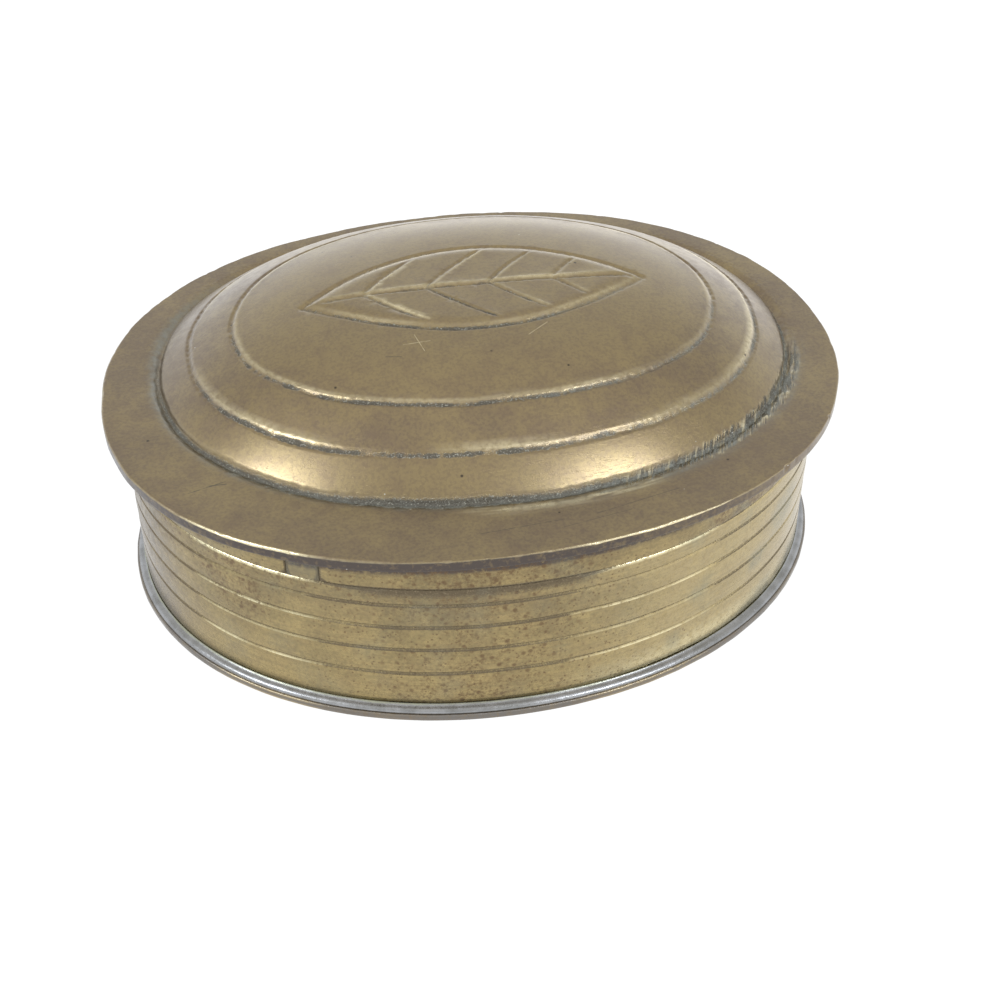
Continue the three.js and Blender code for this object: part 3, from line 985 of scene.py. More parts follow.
@dataclass
class DomedPlate:
    """Lid plate: a flat rim, a moat and a hollow dome raised by hand, with chased lines."""

    squareness: float = 2.16
    thickness: float = 1.6
    rim_end: float = 7.0
    rim_side: float = 7.2
    dome_shift: tuple[float, float] = (1.0, 3.6)
    dome_turn: float = math.radians(-3.2)
    dome_squareness: float = 2.12
    dome_rise: float = 10.2
    dome_fullness: float = 3.4
    hollow_inset: float = 1.6
    waviness: float = 0.07
    planishing: float = 0.012
    sunk: float = 0.1
    """How far the whole relief is let into the metal, so that nothing stands above the frame's plate."""
    hammering: float = 0.12
    crease_width: float = 0.75
    crease_step: float = 0.24
    """Reach of the crease on the side of the dome, where it rises steeply."""
    crease_depth: float = 0.6
    moat_width: float = 2.8
    moat_depth: float = 0.035
    grain_depth: float = 0.05
    burr_height: float = 0.1
    scraped: Stretch = Stretch(start=-11, fade_in=9, end=21, fade_out=8)
    """Where the moat has been scraped down to bare metal."""
    near_moat: tuple[float, float] = (-2.9, 1.4)
    """Depths at the foot of the dome between which the mesh is fine."""
    contour_insets: tuple[float, float] = (4.6, 10.7)
    leaf_length: float = 47.0
    leaf_width: float = 20.0
    leaf_rise: float = 0.35
    vein_count: int = 4
    vein_slant: float = 0.75
    edge_radius: float = 0.09
    steps: int = 240
    coarse_step: float = 0.8
    fine_step: float = 0.19
    edge_step: float = 0.11
    edge_band: float = 1.0
    dirty_front: Fade = (14, 22)
    clean_left: Fade = (-33, 8)
    pale_right: Fade = (1, 10)
    marked_right: Fade = (11, 5)
    """Where along Y and X the dirt, the clean end, the pale grains and the tool marks begin or stop."""
    under_relief: float = 0.4
    """Share of the sunk relief that shows on the underside."""
    facet_width: float = 0.13
    edge_reach: float = 1.2
    draw_depth: float = 0.18
    nick_depth: float = 0.22
    leaf_slope: float = 1.6
    near_outline: float = 1.4
    near_vein: float = 1.2
    near_rib: float = 1.3
    under_rings: int = 30
    side_levels: tuple[float, ...] = (0.3, 0.6, 0.9, 1.2, 1.45)
    side_band: float = 0.15
    side_level: float = 0.97
    upper_level: float = 0.93
    """Shares of the thickness under which a point is on the side and over which it is on the upper face."""
    piece: Piece = Piece("domed_plate", "lid_plate", Body.LID, "lid_brass")

    def __post_init__(self) -> None:
        """Reads the plate's place from the frame and lays out its ovals."""
        self.under, _ = heights("lid_plate")
        self.top = self.under + self.thickness
        self.edge = Oval.round_node("lid_plate", self.squareness)
        self.reach = (self.edge.half_length + self.edge.half_width) / 2
        self.foot = Oval(
            self.edge.half_length - self.rim_end, self.edge.half_width - self.rim_side, self.dome_squareness
        )
        turn = self.dome_turn
        self.turn = np.array([[math.cos(turn), -math.sin(turn)], [math.sin(turn), math.cos(turn)]])

    def build(self, material: bpy.types.Material) -> bpy.types.Object:
        """Makes the plate.

        Args:
            material: Its finish.

        Returns:
            The piece.
        """
        shape = self._blank()
        self._refine(shape)
        spun = np.array([v.co for v in shape.verts])
        plan, dome, depth = self._lay_out(spun)
        level = np.clip(spun[:, 2] / self.thickness, 0, 1)
        relief = self._work(plan, dome, depth)
        facet = self._facet(plan, level)
        above = self.top + self._dome(self.foot, dome) + relief.height - facet
        below = self.under + self._dome(self.foot.inset(self.hollow_inset), dome)
        hammered = self.hammering * soft_noise(plan, 6.0, 41.0) * rise(depth, 0, 4)
        below = below + self.under_relief * np.minimum(relief.height, 0) + hammered
        places = np.column_stack([self._filed(plan, level), below + level * (above - below)])
        side = (np.hypot(spun[:, 0], spun[:, 1]) > self.reach - self.side_band) & (level < self.side_level)
        traces = self._traces(plan, depth, relief, facet, level > self.upper_level, side)
        return self.piece.make(shape, places, traces, material)

    def _traces(
        self, plan: np.ndarray, depth: np.ndarray, relief: Relief, facet: np.ndarray, upper: np.ndarray,
        side: np.ndarray,
    ) -> dict[Trace, np.ndarray]:
        """Marks that the finish reads.

        Args:
            plan: Points in plan.
            depth: How far inside the foot of the dome they lie.
            relief: What the upper face bears.
            facet: How far they lie within the worn facet of the upper corner.
            upper: Which of them are on the upper face.
            side: Which of them are on the side.

        Returns:
            A value for each point, by trace.
        """
        front = 0.85 + 0.5 * bell(plan[:, 0], -15, 26)
        # Worn gold on the corner facet, strongest in the highlit stretches of the front: partly wear, partly
        # a painted highlight.
        bright = rise(facet, 0, 0.06) * (0.18 + 1.1 * worn_and_highlit_front(plan))
        bright = bright * (1 - 0.8 * rise(plan[:, 0], 34, 6))
        return {
            Trace.DIRT_AND_SHADE: relief.dirt * upper,
            Trace.WEAR_AND_HIGHLIGHT: np.maximum(relief.wear, bright) * upper,
            Trace.BLOOM: np.maximum(self._bloom(plan, depth), self._bleached(plan, relief)) * upper,
            Trace.STROKES: self._marked(plan, depth) * upper,
            Trace.TARNISH_AND_SHADE: side * np.where(plan[:, 0] < 12, front, 0.8 - 0.55 * rise(plan[:, 0], 22, 16)),
            Trace.POLISH: np.maximum(rise(depth, 8, 9), 0.95 * self._flank(plan, depth)) * upper,
        }

    def _lay_out(self, spun: np.ndarray) -> tuple[np.ndarray, np.ndarray, np.ndarray]:
        """Places in plan, the same in the dome's own frame, and how deep inside its foot they lie."""
        plan = self._plan(spun)
        dome = (plan - self.dome_shift) @ self.turn
        return plan, dome, self.foot.depth(dome)

    def _rings(self) -> list[float]:
        """Radii of the rings of the upper face, close together where the relief is fine."""
        foot = (self.foot.half_length + self.foot.half_width) / 2
        radii = [0.0]
        while radii[-1] < self.reach - 0.05:
            depth = foot - radii[-1]
            outer, inner = self.near_moat
            fine = outer < depth < inner or any(abs(depth - inset) < inner for inset in self.contour_insets)
            step = self.fine_step if fine else self.coarse_step
            at_edge = radii[-1] > self.reach - self.edge_band
            radii.append(radii[-1] + (self.edge_step if at_edge else step))
        radii[-1] = self.reach
        return radii

    def _blank(self) -> bmesh.types.BMesh:
        """Spins the plate's flat section into a disc with its edges broken."""
        shape = bmesh.new()
        under = [(r, 0.0) for r in np.linspace(0, self.reach, self.under_rings)]
        side = [(self.reach, z) for z in self.side_levels]
        over = [(r, self.thickness) for r in reversed(self._rings())]
        corners = [shape.verts.new((float(r), 0, z)) for r, z in (*under, *side, *over)]
        for pair in zip(corners, corners[1:]):
            shape.edges.new(pair)
        spin_disc(shape, self.steps, self.reach, (0.0, self.thickness), self.edge_radius, segments=2)
        return shape

    def _refine(self, shape: bmesh.types.BMesh) -> None:
        """Adds points along the lines of the relief, where the coarse rings can't hold it."""
        self._split(shape, self._near_leaf, along_rings=False, least=0.5, cuts=3)
        self._split(shape, self._near_leaf, along_rings=True, least=0.24, cuts=1)
        self._split(shape, self._near_rings, along_rings=True, least=0.4, cuts=3)

    def _split(
        self, shape: bmesh.types.BMesh, near: Callable[[np.ndarray], np.ndarray], along_rings: bool,
        least: float, cuts: int,
    ) -> None:
        """Cuts edges of the upper face near some features.

        Args:
            shape: The disc.
            near: Tells for each point whether it is near the features.
            along_rings: Whether to cut edges that run along the rings or those that run across.
            least: Shortest edge that is cut.
            cuts: Number of cuts.
        """
        spun = np.array([v.co for v in shape.verts])
        radius = np.hypot(spun[:, 0], spun[:, 1])
        chosen = near(spun) & (spun[:, 2] > self.side_levels[0])
        shape.verts.index_update()
        edges = []
        for edge in shape.edges:
            first, second = (v.index for v in edge.verts)
            same_ring = abs(radius[first] - radius[second]) < ABOUT_SAME
            if chosen[first] and chosen[second] and same_ring == along_rings and edge.calc_length() > least:
                edges.append(edge)
        bmesh.ops.subdivide_edges(shape, edges=edges, cuts=cuts, use_grid_fill=True)

    def _near_leaf(self, spun: np.ndarray) -> np.ndarray:
        """Which points lie near a line of the leaf."""
        _, dome, _ = self._lay_out(spun)
        leaf = self._leaf_depth(dome)
        veins = np.min(np.abs(self._vein_distances(dome)), axis=0)
        inner = (veins < self.near_vein) | (np.abs(dome[:, 1]) < self.near_rib)
        return (np.abs(leaf) < self.near_outline) | ((leaf > 0) & inner)

    def _near_rings(self, spun: np.ndarray) -> np.ndarray:
        """Which points lie near the moat, the chased ovals or the edge."""
        plan, _, depth = self._lay_out(spun)
        near = (depth > self.near_moat[0]) & (depth < self.near_moat[1])
        for inset in self.contour_insets:
            near |= np.abs(depth - inset) < 1.3
        return near | (self.edge.share(plan) > 0.98)

    def _plan(self, spun: np.ndarray) -> np.ndarray:
        """Moves rings of the disc out to the plate's ovals.

        Args:
            spun: Points of the spun disc.

        Returns:
            The same points in plan.
        """
        angle = np.arctan2(spun[:, 1], spun[:, 0])
        radius = np.hypot(spun[:, 0], spun[:, 1])
        guides = [(0.0, np.tile(self.dome_shift, (len(spun), 1)))]
        for inset in (*reversed(self.contour_insets), 0.0):
            ring = self.foot.inset(inset)
            where = ring.points(angle - self.dome_turn) @ self.turn.T + self.dome_shift
            guides.append(((ring.half_length + ring.half_width) / 2, where))
        guides.append((self.reach, self.edge.points(angle)))
        plan = np.zeros((len(spun), 2))
        for (near, inner), (far, outer) in zip(guides, guides[1:]):
            share = ((radius - near) / (far - near))[:, None]
            here = (radius >= near - 1e-6)[:, None]
            plan = np.where(here, inner + np.minimum(share, 1) * (outer - inner), plan)
        return plan

    def _dome(self, foot: Oval, dome: np.ndarray) -> np.ndarray:
        """Height of the raised metal over the flat plate."""
        return self.dome_rise * (1 - np.minimum(foot.share(dome), 1) ** self.dome_fullness)

    def _flank(self, plan: np.ndarray, depth: np.ndarray) -> np.ndarray:
        """Share of the steep band above the foot of the dome, smooth and clean at the front."""
        return rise(depth, 0.1, 0.3) * fall(depth, 7, 5) * fall(plan[:, 1], -8, 6)

    def _grime(self, plan: np.ndarray) -> np.ndarray:
        """How much dirt the chased lines hold: most at the front left, little at the back."""
        front = fall(plan[:, 1], *self.dirty_front)
        left = fall(plan[:, 0], *self.clean_left)
        right = rise(plan[:, 0], *self.pale_right)
        return 0.2 + 0.8 * front * (1 - 0.6 * left) * (1 - 0.5 * right)

    def _bloom(self, plan: np.ndarray, depth: np.ndarray) -> np.ndarray:
        """Pale corrosion along the moat, most at the left end and at the right of the front."""
        left = fall(plan[:, 0], -8, 14) * fall(np.abs(plan[:, 1] - 8), 26, 14)
        right = rise(plan[:, 0], -6, 8) * fall(plan[:, 1], -2, 8)
        front = fall(plan[:, 1], -6, 10)
        ragged = depth + 0.3 * soft_noise(plan, 1.9, 35.0)
        near = bell(ragged, -0.8, 0.7) * np.maximum(0.6 * left, 0.75 * front)
        streaks = patchy(drawn_out(plan, depth, 8, 1.6), 1.0, 37.0, 0.6, 0.9)
        return np.maximum(near, 0.7 * right * streaks * bell(depth, -1.5, 1.0))

    def _bleached(self, plan: np.ndarray, relief: Relief) -> np.ndarray:
        """Pale grains in the dirt at the right of the front."""
        right = rise(plan[:, 0], *self.pale_right) * (plan[:, 1] < 0)
        return relief.dirt * right * patchy(plan, 0.5, 61.0, 0.6, 1.2)

    def _leaf_depth(self, dome: np.ndarray) -> np.ndarray:
        """Distance inside the leaf's outline, about square to it, negative outside."""
        along = 2 * dome[:, 0] / self.leaf_length
        half = self.leaf_width / 2 * (1 - along**2)
        slope = 2 * self.leaf_width / self.leaf_length * along
        inside = (half - np.abs(dome[:, 1])) / np.sqrt(1 + slope**2)
        beyond = (np.abs(dome[:, 0]) - self.leaf_length / 2) * 0.8
        return np.where(np.abs(along) > 1, -np.maximum(beyond, np.abs(dome[:, 1])), inside)

    def _vein_distances(self, dome: np.ndarray) -> np.ndarray:
        """Distance from each side vein, one row for each vein."""
        spacing = self.leaf_length * 0.74 / self.vein_count
        first = -self.leaf_length * 0.38
        across = np.abs(dome[:, 1])
        rows = []
        for k in range(self.vein_count):
            root = first + (k + 0.3) * spacing
            line = root + self.vein_slant * across + 0.03 * across**2
            rows.append((dome[:, 0] - line) / math.sqrt(1 + self.vein_slant**2))
        return np.array(rows)

    def _work(self, plan: np.ndarray, dome: np.ndarray, depth: np.ndarray) -> Relief:
        """Everything that the maker and the years did to the upper face.

        Args:
            plan: Points in plan.
            dome: The same points in the dome's own frame.
            depth: How far inside the foot of the dome they lie.

        Returns:
            The relief.
        """
        relief = Relief.bare(len(plan))
        waves = self.waviness * soft_noise(plan, 13.0, 2.0) + self.planishing * soft_noise(plan, 4.0, 5.0)
        relief.height = waves - self.sunk
        for k, inset in enumerate(self.contour_insets):
            relief.add(ChasedLine(seed=11.0 + 13 * k).strike(depth - inset, plan))
        relief.add(self._leaf(dome))
        relief.dirt = relief.dirt * self._grime(plan)
        relief.add(self._moat(plan, depth))
        relief.add(self._strokes(plan, depth))
        return relief

    def _moat(self, plan: np.ndarray, depth: np.ndarray) -> Relief:
        """Granular groove round the foot of the dome, with a crease on its inner side."""
        away = depth + 0.22 * soft_noise(plan, 9.0, 21.0) + 0.1 * soft_noise(plan, 1.3, 23.0)
        crease = bell(away, 0.0, np.where(away > 0, self.crease_step, self.crease_width))
        band = rise(away, -self.moat_width, 1.7) * fall(away, 0.3, 0.6)
        grain = self.grain_depth * soft_noise(plan, 0.42, 25.0) * band
        middle = middle_front(plan, 18.0)
        grains = 0.36 + 0.2 * middle + 0.3 * soft_noise(plan, 0.9, 29.0)
        ragged = away + 0.35 * soft_noise(plan, 1.7, 31.0)
        broken = grains * rise(ragged, -1.7, 0.9) * fall(away, 0.1, 0.2)
        height = -self.crease_depth * crease - self.moat_depth * band + grain
        core = bell(away, -0.08, 0.3 + 0.12 * middle)
        dirt = np.maximum(core * (0.85 + 0.3 * middle), broken * (1 - 0.6 * rise(plan[:, 0], -2, 8)))
        silver = bell(away, -1.6, 1.0) * self.scraped.share(plan)
        brushed = patchy(drawn_out(plan, depth, 5, 2.6), 1.0, 43.0, 0.5, 1.0)
        bare = 1.2 * silver * brushed * (plan[:, 1] < 0)
        return Relief(height, dirt * (0.3 + 0.7 * fall(plan[:, 1], *self.dirty_front)), bare)

    def _marked(self, plan: np.ndarray, depth: np.ndarray) -> np.ndarray:
        """Where a tool has left rough marks across the moat, at the right of the front."""
        right = rise(plan[:, 0], *self.marked_right) * fall(plan[:, 1], -2, 8)
        reach = 1.0 + 0.7 * soft_noise(arc_along(plan)[:, None], 0.9, 33.0) + 0.4 * rise(plan[:, 0], 20, 8)
        away = np.where(depth > -0.3, 1.5 * (depth + 0.3), -0.8 * (depth + 0.3))
        return fall(away, reach, 0.4) * right

    def _strokes(self, plan: np.ndarray, depth: np.ndarray) -> Relief:
        """Lumps that the same tool has thrown up."""
        lumps = soft_noise(plan, 0.9, 27.0) * self._marked(plan, depth)
        return Relief(self.burr_height * lumps, np.zeros(len(plan)), 0.9 * np.clip(1.6 * lumps, 0, 1))

    def _leaf(self, dome: np.ndarray) -> Relief:
        """Plain pointed leaf: a soft raised field, its outline, its midrib and its side veins."""
        inside = self._leaf_depth(dome)
        leaf = Relief.bare(len(dome))
        leaf.height = self.leaf_rise * rise(inside, 0, self.leaf_slope)
        leaf.add(ChasedLine(width=1.0, lip=0.1, lip_width=1.0, wander=0.18, seed=51.0).strike(inside, dome))
        field_share = rise(inside, 0.9, 1.2)
        for k, row in enumerate(self._vein_distances(dome)):
            vein = ChasedLine(width=0.85, depth=0.24, lip=0.08, lip_width=0.8, wander=0.15, seed=31.0 + k)
            leaf.add(vein.strike(row, dome), field_share)
        rib_share = rise(inside, 0.2, 1.0) * ease((dome[:, 0] + self.leaf_length / 2 - 1) / 3)
        rib = ChasedLine(width=1.0, lip=0.1, lip_width=0.9, wander=0.3, seed=71.0)
        leaf.add(rib.strike(dome[:, 1], dome), rib_share)
        return leaf

    def _inside_edge(self, plan: np.ndarray) -> np.ndarray:
        """Distance from the plate's edge, about square to it."""
        return (1 - self.edge.share(plan)) * np.linalg.norm(plan, axis=1)

    def _facet(self, plan: np.ndarray, level: np.ndarray) -> np.ndarray:
        """How far each point lies within the uneven facet that wear has made of the upper corner."""
        width = self.facet_width + 0.2 * patchy(plan, 10.0, 85.0, 0.35, 1.0)
        width = width * (1 - 0.5 * middle_front(plan, 12.0)) * (1 - 0.35 * rise(plan[:, 0], 0, 8))
        width = width + 0.2 * patchy(plan, 1.6, 87.0, -0.1, 1.0)
        return np.clip(width - self._inside_edge(plan), 0, None) * level

    def _filed(self, plan: np.ndarray, level: np.ndarray) -> np.ndarray:
        """Draws the edge in by a little, unevenly, as a file leaves it."""
        at_edge = ease(1 - self._inside_edge(plan) / self.edge_reach)
        waves = np.abs(soft_noise(plan, 7.0, 81.0)) * self.draw_depth
        nicks = rise(soft_noise(plan, 1.3, 83.0), 0.45, 0.3) * self.nick_depth * ease(level * 2 - 0.6)
        draw = (waves + nicks) * at_edge
        reach = np.maximum(np.linalg.norm(plan, axis=1), 1e-6)
        return plan * (1 - draw / reach)[:, None]


@dataclass
class Strip:
    """Strip of sheet bent round the body's oval and set on edge."""

    piece: Piece
    oval: Oval
    inside: float
    outside: float
    bottom: float
    top: float
    gap: tuple[float, float] | None = None
    grooves: tuple[float, ...] = ()
    shine: tuple[float, ...] = (1.0, 0.65, 0.9, 0.1)
    # How bright each line's worn gold is in the highlit stretches of the front, where it is partly a painted
    # highlight.
    """How bright each line is where hands rub it."""
    groove_width: float = 0.54
    groove_depth: float = 0.18
    groove_flat: float = 0.04
    groove_shoulder: float = 0.12
    edge_radius: float = 0.22
    top_step: float = 0.5
    left_end: Fade = (-40, 8)
    clean_right: Fade = (2, 24)
    bright_right: Fade = (-2, 24)
    smudged_right: Fade = (12, 10)
    # Where along X the darker end stops and the clean, bright and smudged parts begin.
    """Where along X the tarnished end stops and the clean, rubbed and smudged parts begin."""
    dent_depth: float = 0.05
    dent_sunk: float = 0.03
    swelling_height: float = 0.07
    sway_height: float = 0.14
    foot_covered: bool = False
    steps: int = 480
    levels: float = 1.4
    cleaned: float = 0.0
    pitting: float = 0.0
    tarnish: float = 0.0
    # Strength of the painted shadow close under the lid plate.
    shaded: float = 0.0
    greyed: float = 0.0
    seed: float = 0.0

    def build(self, material: bpy.types.Material) -> bpy.types.Object:
        """Makes the strip.

        Args:
            material: Its finish.

        Returns:
            The piece.
        """
        spun = Spun(self._section(), self.steps, self.gap)
        rims = [self.top] if self.foot_covered else [self.bottom, self.top]
        spun.round_edges(rims, self.edge_radius, (self.inside - 1, self.outside + 1))
        angle, offset, height = spun.places()
        ring = on_oval(self.oval, angle, np.zeros(len(angle)), np.zeros(len(angle)))
        outer = ease((offset - (self.inside + self.outside) / 2) / (self.outside - self.inside) * 2)
        lines = self._lines(ring, height)
        dents = self.dent_depth * soft_noise(np.column_stack([ring[:, :2], height]), 7.0, self.seed + 2)
        dents = dents - self.dent_sunk
        swelling = self.swelling_height * self._swelling(height) * outer
        tarnish = self.tarnish * (0.6 + 0.4 * rise(height, self.bottom, self.top - self.bottom))
        places = on_oval(self.oval, angle, offset + dents + swelling, height + self._sway(ring, height))
        traces = {
            # Dirt, and a painted shadow in the joints at the front.
            Trace.DIRT_AND_SHADE: np.maximum.reduce(
                [lines.dirt * outer, self._edge_dirt_and_shadow(places, height), self._end_dirt(angle, places)]
            ),
            # Worn gold, partly a painted highlight in the highlit stretches of the front.
            Trace.WEAR_AND_HIGHLIGHT: np.maximum.reduce(
                [lines.wear, self._edge_wear_and_highlight(places, height), self._bright_foot(places, height)]
            ) * outer,
            Trace.BLOOM: self._smudges(places) * outer,
            Trace.POLISH: self._polish(places, height) * outer,
            Trace.PITTING: self._pits(places) * outer,
            # Tarnish, and the painted shadow close under the lid plate.
            Trace.TARNISH_AND_SHADE: np.maximum(tarnish, self._shade(places, height) * outer),
        }
        return self.piece.make(spun.mesh, places, traces, material)

    def _section(self) -> Section:
        """Corners of the section, with a V at each engraved line and points in between."""
        corners = [(self.inside, self.bottom), (self.outside, self.bottom)]
        half = self.groove_width / 2
        stops = [self.bottom, *self.grooves, self.top]
        for low, high in zip(stops, stops[1:]):
            if low != self.bottom:
                sunk, flat = self.outside - self.groove_depth, self.groove_flat / 2
                corners += [
                    (self.outside, low - half - self.groove_shoulder), (self.outside, low - half),
                    (sunk, low - flat), (sunk, low + flat),
                    (self.outside, low + half), (self.outside, low + half + self.groove_shoulder),
                ]
            count = max(1, int((high - low) / self.levels))
            for k in range(1, count):
                corners.append((self.outside, low + (high - low) * k / count))
        corners.append((self.outside, self.top - self.top_step))
        return [*corners, (self.outside, self.top), (self.inside, self.top)]

    def _lines(self, ring: np.ndarray, height: np.ndarray) -> Relief:
        """Dirt in the upper part of the engraved lines, and worn gold on their lower faces in the highlit
        stretches: partly wear, partly a painted highlight.
        """
        lines = Relief.bare(len(height))
        for k, line in enumerate(self.grooves):
            away = (height - line) / self.groove_width
            rubbed = patchy(ring, 5.0, self.seed + 5 * k, 0.8, 1.0)
            rubbed = rubbed * worn_and_highlit_front(ring) * (0.3 + 0.7 * self.shine[k])
            kept = patchy(ring, 16.0, self.seed + 3 * k, 0.9, 0.5, 0.6, 1)
            dirt = ease((away + 0.68 - 0.6 * rubbed) / 0.16) * fall(away, 0.68, 0.16)
            bare = fall(away, -0.25, 0.2) * rise(away, -0.62, 0.12)
            lines.add(Relief(np.zeros(len(height)), 0.72 * dirt * kept, self.shine[k] * bare * rubbed))
        return lines

    def _swelling(self, height: np.ndarray) -> np.ndarray:
        """Swelling of the sheet between one line and the next, from 0 at a line to 1."""
        stops = [self.bottom, *self.grooves, self.top]
        swelling = np.zeros(len(height))
        for low, high in zip(stops, stops[1:]):
            share = np.clip((height - low) / (high - low), 0, 1)
            swelling = swelling + 4 * share * (1 - share)
        return swelling

    def _sway(self, ring: np.ndarray, height: np.ndarray) -> np.ndarray:
        """Small rise and fall of the engraved lines, none at the edges."""
        sway = np.zeros(len(height))
        for k, line in enumerate(self.grooves):
            near = ease(1.4 - np.abs(height - line) / 1.2)
            sway = sway + near * self.sway_height * soft_noise(ring, 15.0, self.seed + 9 * k + 1)
        return sway

    def _edge_dirt_and_shadow(self, places: np.ndarray, height: np.ndarray) -> np.ndarray:
        """Dirt where the strip meets its neighbours; the extra darkening at the front is a painted shadow in
        the gap of the joint.
        """
        away = self.top - height
        if not self.foot_covered:
            away = np.minimum(height - self.bottom, away)
        kept = patchy(places, 9.0, self.seed + 12, 0.45, 0.5)
        # Painted shadow in the gap of the joint, strongest at the middle of the front.
        front = np.minimum(1.4 * middle_front(places, 20.0), 1)
        kept = np.maximum(kept, front) * (1 - 0.9 * worn_and_highlit_front(places) * (1 - front))
        reach = 0.2 + (0.55 if self.foot_covered else 0.15) * front
        return ease(1 + 0.3 * front - away / reach) * kept

    def _shade(self, places: np.ndarray, height: np.ndarray) -> np.ndarray:
        """Darker at the left end and high on the front of the wall, and a painted shadow close under the lid
        plate.
        """
        left = 0.7 * fall(places[:, 0], *self.left_end)
        if self.foot_covered:
            high = ease((height - self.top + 9) / 8)
            return np.maximum(left, 0.22 * middle_front(places, 28.0) * high)
        under = 2.05 + 0.6 * np.abs(places[:, 0]) / self.oval.half_length
        # Painted shadow of the plate's overhang, close under it.
        shaded = self.shaded * (1 - 0.6 * rise(places[:, 0], 16, 16))
        return np.maximum(left, shaded * ease((height - self.top + under) / 0.4))

    def _end_dirt(self, angle: np.ndarray, places: np.ndarray) -> np.ndarray:
        """Dirt at the two ends of the strip, less towards its top."""
        if self.gap is None:
            return np.zeros(len(angle))
        ends = [np.abs((angle - end + math.pi) % FULL_TURN - math.pi) for end in self.gap]
        away = np.minimum(*ends) * (self.oval.half_length + self.oval.half_width) / 2
        corner = ease((self.bottom + 0.9 - places[:, 2]) / 0.7)
        reach = 0.5 + 0.45 * corner + 0.3 * soft_noise(places, 1.2, self.seed + 41)
        return (0.7 + 0.4 * corner) * ease(1.2 - away / reach) * ease((self.top - places[:, 2] + 0.4) / 1.8)

    def _polish(self, places: np.ndarray, height: np.ndarray) -> np.ndarray:
        """Where the metal is still clean: low on the strip, and most of all at the right."""
        low = fall(height, self.top, self.top - self.bottom)
        right = rise(places[:, 0], *self.clean_right)
        return self.cleaned * np.maximum(0.7 * low, right)

    def _edge_wear_and_highlight(self, places: np.ndarray, height: np.ndarray) -> np.ndarray:
        """Bright line of worn gold on the upper edge, faint except in the highlit stretches of the front:
        partly wear, partly a painted highlight.
        """
        kept = patchy(places, 10.0, self.seed + 14, 0.6, 0.6)
        return 1.5 * ease((height - self.top + 0.46) / 0.14) * kept * (0.08 + 0.92 * worn_and_highlit_front(places))

    def _bright_foot(self, places: np.ndarray, height: np.ndarray) -> np.ndarray:
        """Lighter gold low on the wall, at the right of the front."""
        right = rise(places[:, 0], *self.bright_right) * fall(places[:, 1], 4, 8)
        low = ease((self.bottom + 5 - height) / 4)
        return self.foot_covered * right * (0.15 + 0.6 * low)

    def _pits(self, places: np.ndarray) -> np.ndarray:
        """Where corrosion has bitten: most at the front, and in patches elsewhere."""
        patches = rise(soft_noise(places, 16.0, self.seed + 21), 0.05, 0.35)
        return self.pitting * np.maximum(0.9 * middle_front(places, 24.0), patches)

    def _smudges(self, places: np.ndarray) -> np.ndarray:
        """Grey smudges, most at the right."""
        right = 0.35 + 0.65 * rise(places[:, 0], *self.smudged_right)
        patches = 0.45 * right * rise(soft_noise(places, 5.0, self.seed + 33), 0.12, 0.4)
        return np.maximum(patches, self.greyed)


@dataclass
class SolderRun:
    """Run of soft solder along the body's oval, given by its smooth section."""

    piece: Piece
    oval: Oval
    section: Section
    gap: tuple[float, float] | None = None
    steps: int = 420
    lump: float = 0.035
    thinner: float = 0.0
    thin_right: Fade = (4, 14)
    thin_front: Fade = (6, 10)
    """Where along X the run begins to be lower, and up to where along Y."""
    seed: float = 0.0

    def build(self, material: bpy.types.Material) -> bpy.types.Object:
        """Makes the run.

        Args:
            material: Its finish.

        Returns:
            The piece.
        """
        spun = Spun(self.section, self.steps, self.gap)
        angle, offset, height = spun.places()
        low = min(x for x, _ in self.section)
        base = min(z for _, z in self.section)
        free = rise(offset, low, 0.4) * rise(height, base, 0.3)
        places = on_oval(self.oval, angle, offset, height)
        thin = rise(places[:, 0], *self.thin_right) * fall(places[:, 1], *self.thin_front)
        height = base + (height - base) * (1 - self.thinner * thin)
        lumps = soft_noise(places, 2.2, self.seed) + 0.6 * soft_noise(places, 0.8, self.seed + 4)
        offset = offset + self.lump * (lumps - 1.0) * free
        height = height + 0.5 * self.lump * (soft_noise(places, 1.6, self.seed + 8) - 0.6) * free
        places = on_oval(self.oval, angle, offset, height)
        patches = patchy(places, 4.0, self.seed + 12, 0.0, 1.0)
        grown = 0.6 * ease((height - base - 0.6) / 0.25) + 0.3 * patches
        return self.piece.make(spun.mesh, places, {Trace.DIRT_AND_SHADE: grown}, material)


